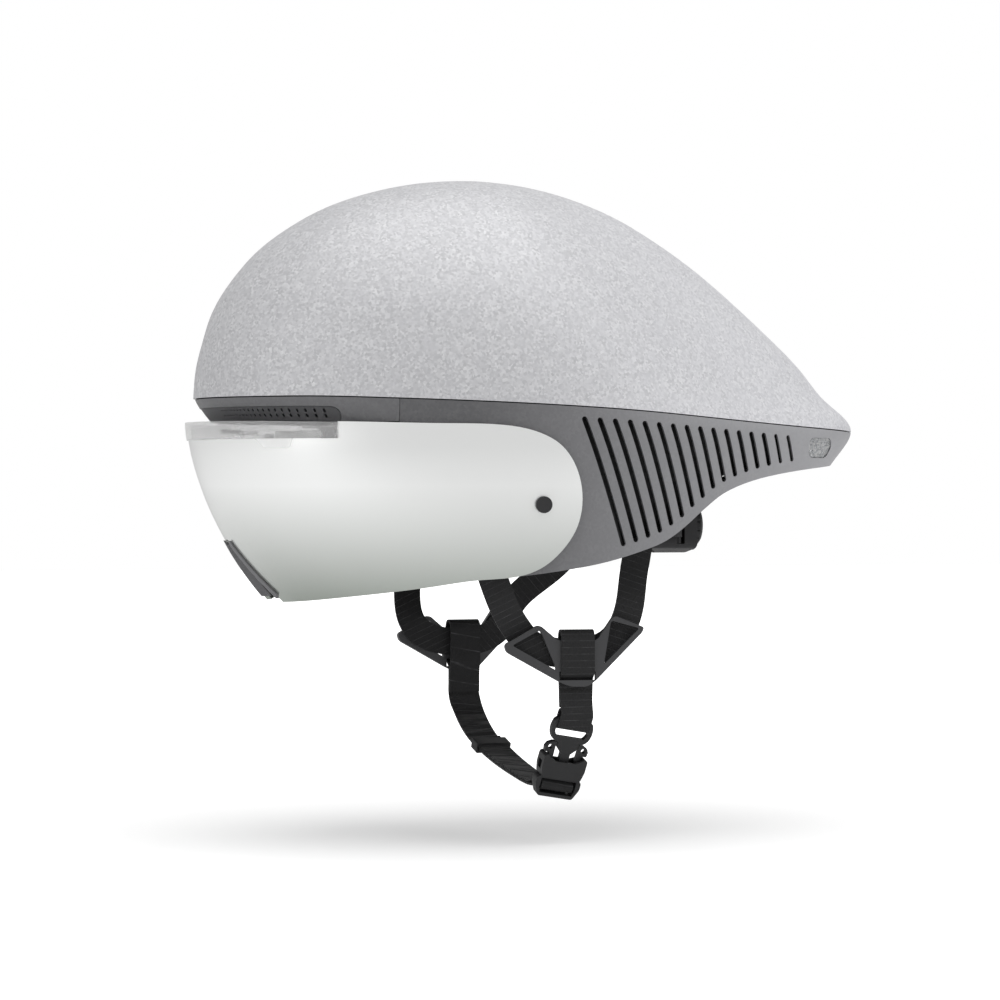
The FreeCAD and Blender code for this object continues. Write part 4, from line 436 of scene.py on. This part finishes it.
def paper_material():
    """Matt white studio paper: takes the helmet's shadow, and glows white to the camera further away."""
    material, tree, place = new_material("matt white studio paper")
    fibres = add_node(tree, "ShaderNodeTexNoise", {
        "Vector": place, "Scale": 1 / PAPER_FIBRE, "Detail": 2.0,
    })
    colour = between(tree, fibres.outputs["Fac"], 0.3, 0.7, linear("F6F6F6"), linear("F8F8F8"))
    paper = add_node(tree, "ShaderNodeBsdfPrincipled", {"Base Color": colour, "Roughness": 0.9})
    reach = add_node(tree, "ShaderNodeVectorMath", {0: place}, operation="LENGTH")
    far = add_node(tree, "ShaderNodeMapRange", {
        "Value": reach.outputs["Value"], "From Min": GLOW_NEAR_END, "From Max": GLOW_FAR_START,
        "To Min": GLOW_NEAR, "To Max": GLOW_FAR,
    })
    rays = add_node(tree, "ShaderNodeLightPath")
    seen = add_node(tree, "ShaderNodeMath", {
        0: rays.outputs["Is Camera Ray"], 1: rays.outputs["Is Transmission Ray"],
    }, operation="MAXIMUM")
    strength = add_node(tree, "ShaderNodeMath", {
        0: far.outputs[0], 1: seen.outputs[0],
    }, operation="MULTIPLY")
    glow = add_node(tree, "ShaderNodeEmission", {"Color": WHITE, "Strength": strength.outputs[0]})
    both = add_node(tree, "ShaderNodeAddShader", {0: paper.outputs[0], 1: glow.outputs[0]})
    add_node(tree, "ShaderNodeOutputMaterial", {"Surface": both.outputs[0]})
    return material


def set_world(scene):
    """Plain even light, with white wherever the camera sees past the floor."""
    world = bpy.data.worlds.new("studio")
    scene.world = world
    world.use_nodes = True
    tree = world.node_tree
    tree.nodes.clear()
    rays = add_node(tree, "ShaderNodeLightPath")
    seen = add_node(tree, "ShaderNodeMath", {
        0: rays.outputs["Is Camera Ray"], 1: rays.outputs["Is Transmission Ray"],
    }, operation="MAXIMUM")
    plain = add_node(tree, "ShaderNodeBackground", {"Color": linear("F5F5F5"), "Strength": WORLD_LIGHT})
    white = add_node(tree, "ShaderNodeBackground", {"Color": WHITE, "Strength": 1.0})
    both = add_node(tree, "ShaderNodeMixShader", {
        0: seen.outputs[0], 1: plain.outputs[0], 2: white.outputs[0],
    })
    add_node(tree, "ShaderNodeOutputWorld", {"Surface": both.outputs[0]})


def dress(names, material):
    for name in names:
        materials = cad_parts[name].data.materials
        materials.clear()
        materials.append(material)


def soften_edges(names):
    for name in names:
        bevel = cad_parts[name].modifiers.new("moulded edge", "BEVEL")
        bevel.width = settings().edge_bevel
        bevel.segments = BEVEL_SEGMENTS
        bevel.limit_method = "ANGLE"
        bevel.angle_limit = BEVEL_ANGLE


def select_only(thing):
    bpy.ops.object.select_all(action="DESELECT")
    thing.select_set(True)
    bpy.context.view_layer.objects.active = thing


def copy_of(node, name, material):
    """A new object with a node's shape and one material, its vertices merged."""
    piece = bpy.data.objects.new(name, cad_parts[node].data.copy())
    bpy.context.scene.collection.objects.link(piece)
    select_only(piece)
    bpy.ops.object.mode_set(mode="EDIT")
    bpy.ops.mesh.select_all(action="SELECT")
    bpy.ops.mesh.remove_doubles(threshold=MERGE_DISTANCE)
    bpy.ops.mesh.normals_make_consistent(inside=False)
    bpy.ops.object.mode_set(mode="OBJECT")
    piece.data.materials.clear()
    piece.data.materials.append(material)
    return piece


def aimed(place, target):
    """The rotation of a camera or lamp at place that looks at target."""
    return (target - place).to_track_quat("-Z", "Y").to_euler()


class HELMET_OT_stage(bpy.types.Operator):
    """Set the camera, the floor and the studio light"""
    bl_idname = "helmet.stage"
    bl_label = "Studio"

    def execute(self, context):
        scene = context.scene
        distance = settings().camera_distance
        camera_data = bpy.data.cameras.new("camera")
        camera_data.sensor_width = SENSOR_WIDTH
        camera_data.lens = SENSOR_WIDTH * distance / settings().view_width
        camera = bpy.data.objects.new("camera", camera_data)
        scene.collection.objects.link(camera)
        camera.location = PICTURE_CENTRE + TOWARD_CAMERA * distance
        camera.rotation_euler = aimed(camera.location, PICTURE_CENTRE)
        scene.camera = camera

        bpy.ops.mesh.primitive_plane_add(size=FLOOR_WIDTH, location=(0, 0, settings().floor_height))
        floor = context.active_object
        floor.name = "floor"
        floor.data.materials.append(paper_material())

        for name, (place, diameter, power) in LAMPS.items():
            light = bpy.data.lights.new(name, "AREA")
            light.shape = "DISK"
            light.size = diameter
            light.energy = power
            lamp = bpy.data.objects.new(name, light)
            scene.collection.objects.link(lamp)
            lamp.location = place
            lamp.rotation_euler = aimed(Vector(place), LAMP_TARGET)
        set_world(scene)
        scene.view_settings.view_transform = "Standard"
        return {"FINISHED"}


class HELMET_OT_shell(bpy.types.Operator):
    """Paint the shell, its covers and the brow, and dress the liner behind them"""
    bl_idname = "helmet.shell"
    bl_label = "Shell"

    def execute(self, context):
        own = settings()
        # Shell paint with painted shade towards the front
        dress(["upper_shell"], paint_material(
            "flecked silver paint with painted shade on the shell", own.shell_front_painted_shade, own.shell_tail, SHELL_SHADE_FADE, SHELL_FLECKS))
        # Cover paint with painted shade beside the lens and painted light at the tail
        dress(COVERS, paint_material(
            "grey paint with painted light and shade on the side covers", own.cover_front_painted_shade, own.cover_tail_painted_light, COVER_LIGHT_FADE, COVER_FLECKS))
        # Brow paint, darkened at its sides by the covers' painted shade
        dress(["brow_band"], paint_material(
            "dark grey paint with painted shade on the brow", own.brow, own.cover_front_painted_shade, BROW_SHADE_FADE, COVER_FLECKS))
        dress(["brow_insert"], moulded_material("grained black brow insert", own.insert, 0.5))
        dress(WINDOWS, clear_material("mottled clear tail window", linear("9EA3A8"), 0.2, 0.9))
        dress(["eps_liner"], foam_material())
        dress(MAGNETS, metal_material("nickel plated magnet", linear("B8B8B8"), 0.25))
        return {"FINISHED"}


class HELMET_OT_visor(bpy.types.Operator):
    """Coat the lens and finish its bracket, buttons and nose strips"""
    bl_idname = "helmet.visor"
    bl_label = "Visor"

    def execute(self, context):
        # Lens film with a painted reflection
        dress(["visor_lens"], lens_material())
        clear = clear_material("clear polycarbonate bracket", linear("FAFAFA"), 0.08, 0.5)
        dress(["visor_bracket"], clear)
        dress(NOSE_STRIPS, rubber_material("soft grey nose strip", linear("68686A")))
        dress(BUTTONS, moulded_material("satin black button", settings().plastic, 0.35))
        soften_edges(BUTTONS)
        return {"FINISHED"}


class HELMET_OT_pads(bpy.types.Operator):
    """Make each comfort pad as a crowned cushion of brushed cloth"""
    bl_idname = "helmet.pads"
    bl_label = "Pads"

    def execute(self, context):
        cloth = cloth_material()
        for node in PADS:
            piece = copy_of(node, node + "_cushion", cloth)
            remesh = piece.modifiers.new("even mesh", "REMESH")
            remesh.mode = "VOXEL"
            remesh.voxel_size = settings().pad_voxel
            crown = piece.modifiers.new("crowned", "SMOOTH")
            crown.factor = PAD_SMOOTHING
            crown.iterations = PAD_SMOOTHING_ROUNDS
            for modifier in (remesh.name, crown.name):
                bpy.ops.object.modifier_apply(modifier=modifier)
            bpy.ops.object.shade_smooth()
            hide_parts(node)
            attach(piece, "helmet")
        return {"FINISHED"}


class HELMET_OT_harness(bpy.types.Operator):
    """Weave the straps and finish the dividers and the buckle"""
    bl_idname = "helmet.harness"
    bl_label = "Harness"

    def execute(self, context):
        own = settings()
        for node, run in STRAP_RUNS.items():
            dress([node], webbing_material("ribbed webbing " + node, run, BAR_TACKS.get(node)))
        webbing = webbing_material("ribbed webbing chin_strap", CHIN_STRAP_RUN, BAR_TACKS["chin_strap"])
        chin = copy_of("chin_strap", "chin_strap_webbing", webbing)
        bpy.ops.object.shade_smooth_by_angle(angle=SMOOTH_ANGLE)
        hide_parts("chin_strap")
        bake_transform(chin)
        dress(["strap_keeper"], rubber_material("black rubber keeper", linear("141416")))
        dress(DIVIDERS, moulded_material("satin grey divider plastic", own.divider, 0.42))
        dress(BUCKLE_PARTS, moulded_material("satin black buckle plastic", own.buckle, 0.5))
        soften_edges(DIVIDERS + BUCKLE_PARTS)
        return {"FINISHED"}


class HELMET_OT_fit(bpy.types.Operator):
    """Finish the fit system and swap the band arms for smooth-shaded copies"""
    bl_idname = "helmet.fit"
    bl_label = "Fit system"

    def execute(self, context):
        black = moulded_material("satin black fit system plastic", settings().plastic, 0.6)
        dress(FIT_PARTS, black)
        soften_edges(BEVELLED_FIT_PARTS)
        dress(["dial_grip"], rubber_material("ribbed rubber dial grip", linear("141416")))
        dress(["housing_screws"], metal_material("black zinc screw", linear("59595B"), 0.4))
        for side, sign in (("left", 1.0), ("right", -1.0)):
            arm = copy_of("band_arm_" + side, "band_arm_" + side + "_flexing", black)
            bpy.ops.object.shade_smooth_by_angle(angle=SMOOTH_ANGLE)
            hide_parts("band_arm_" + side)
            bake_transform(arm)
        return {"FINISHED"}


class HELMET_PT_panel(bpy.types.Panel):
    """The helmet's colours, sizes and steps"""
    bl_label = "Helmet"
    bl_idname = "HELMET_PT_panel"
    bl_space_type = "VIEW_3D"
    bl_region_type = "UI"
    bl_category = "Helmet"

    def draw(self, context):
        for name in HelmetSettings.__annotations__:
            self.layout.prop(context.scene.helmet, name)
        for step in STEPS:
            self.layout.operator(step.bl_idname)


STEPS = (
    HELMET_OT_stage, HELMET_OT_shell, HELMET_OT_visor, HELMET_OT_pads, HELMET_OT_harness, HELMET_OT_fit,
)
CLASSES = (HelmetSettings, *STEPS, HELMET_PT_panel)


def register():
    for item in CLASSES:
        bpy.utils.register_class(item)
    bpy.types.Scene.helmet = PointerProperty(type=HelmetSettings)


def unregister():
    del bpy.types.Scene.helmet
    for item in reversed(CLASSES):
        bpy.utils.unregister_class(item)


def main():
    register()
    bpy.ops.helmet.stage()
    bpy.ops.helmet.shell()
    bpy.ops.helmet.visor()
    bpy.ops.helmet.pads()
    bpy.ops.helmet.harness()
    bpy.ops.helmet.fit()


if __name__ == "__main__":
    main()
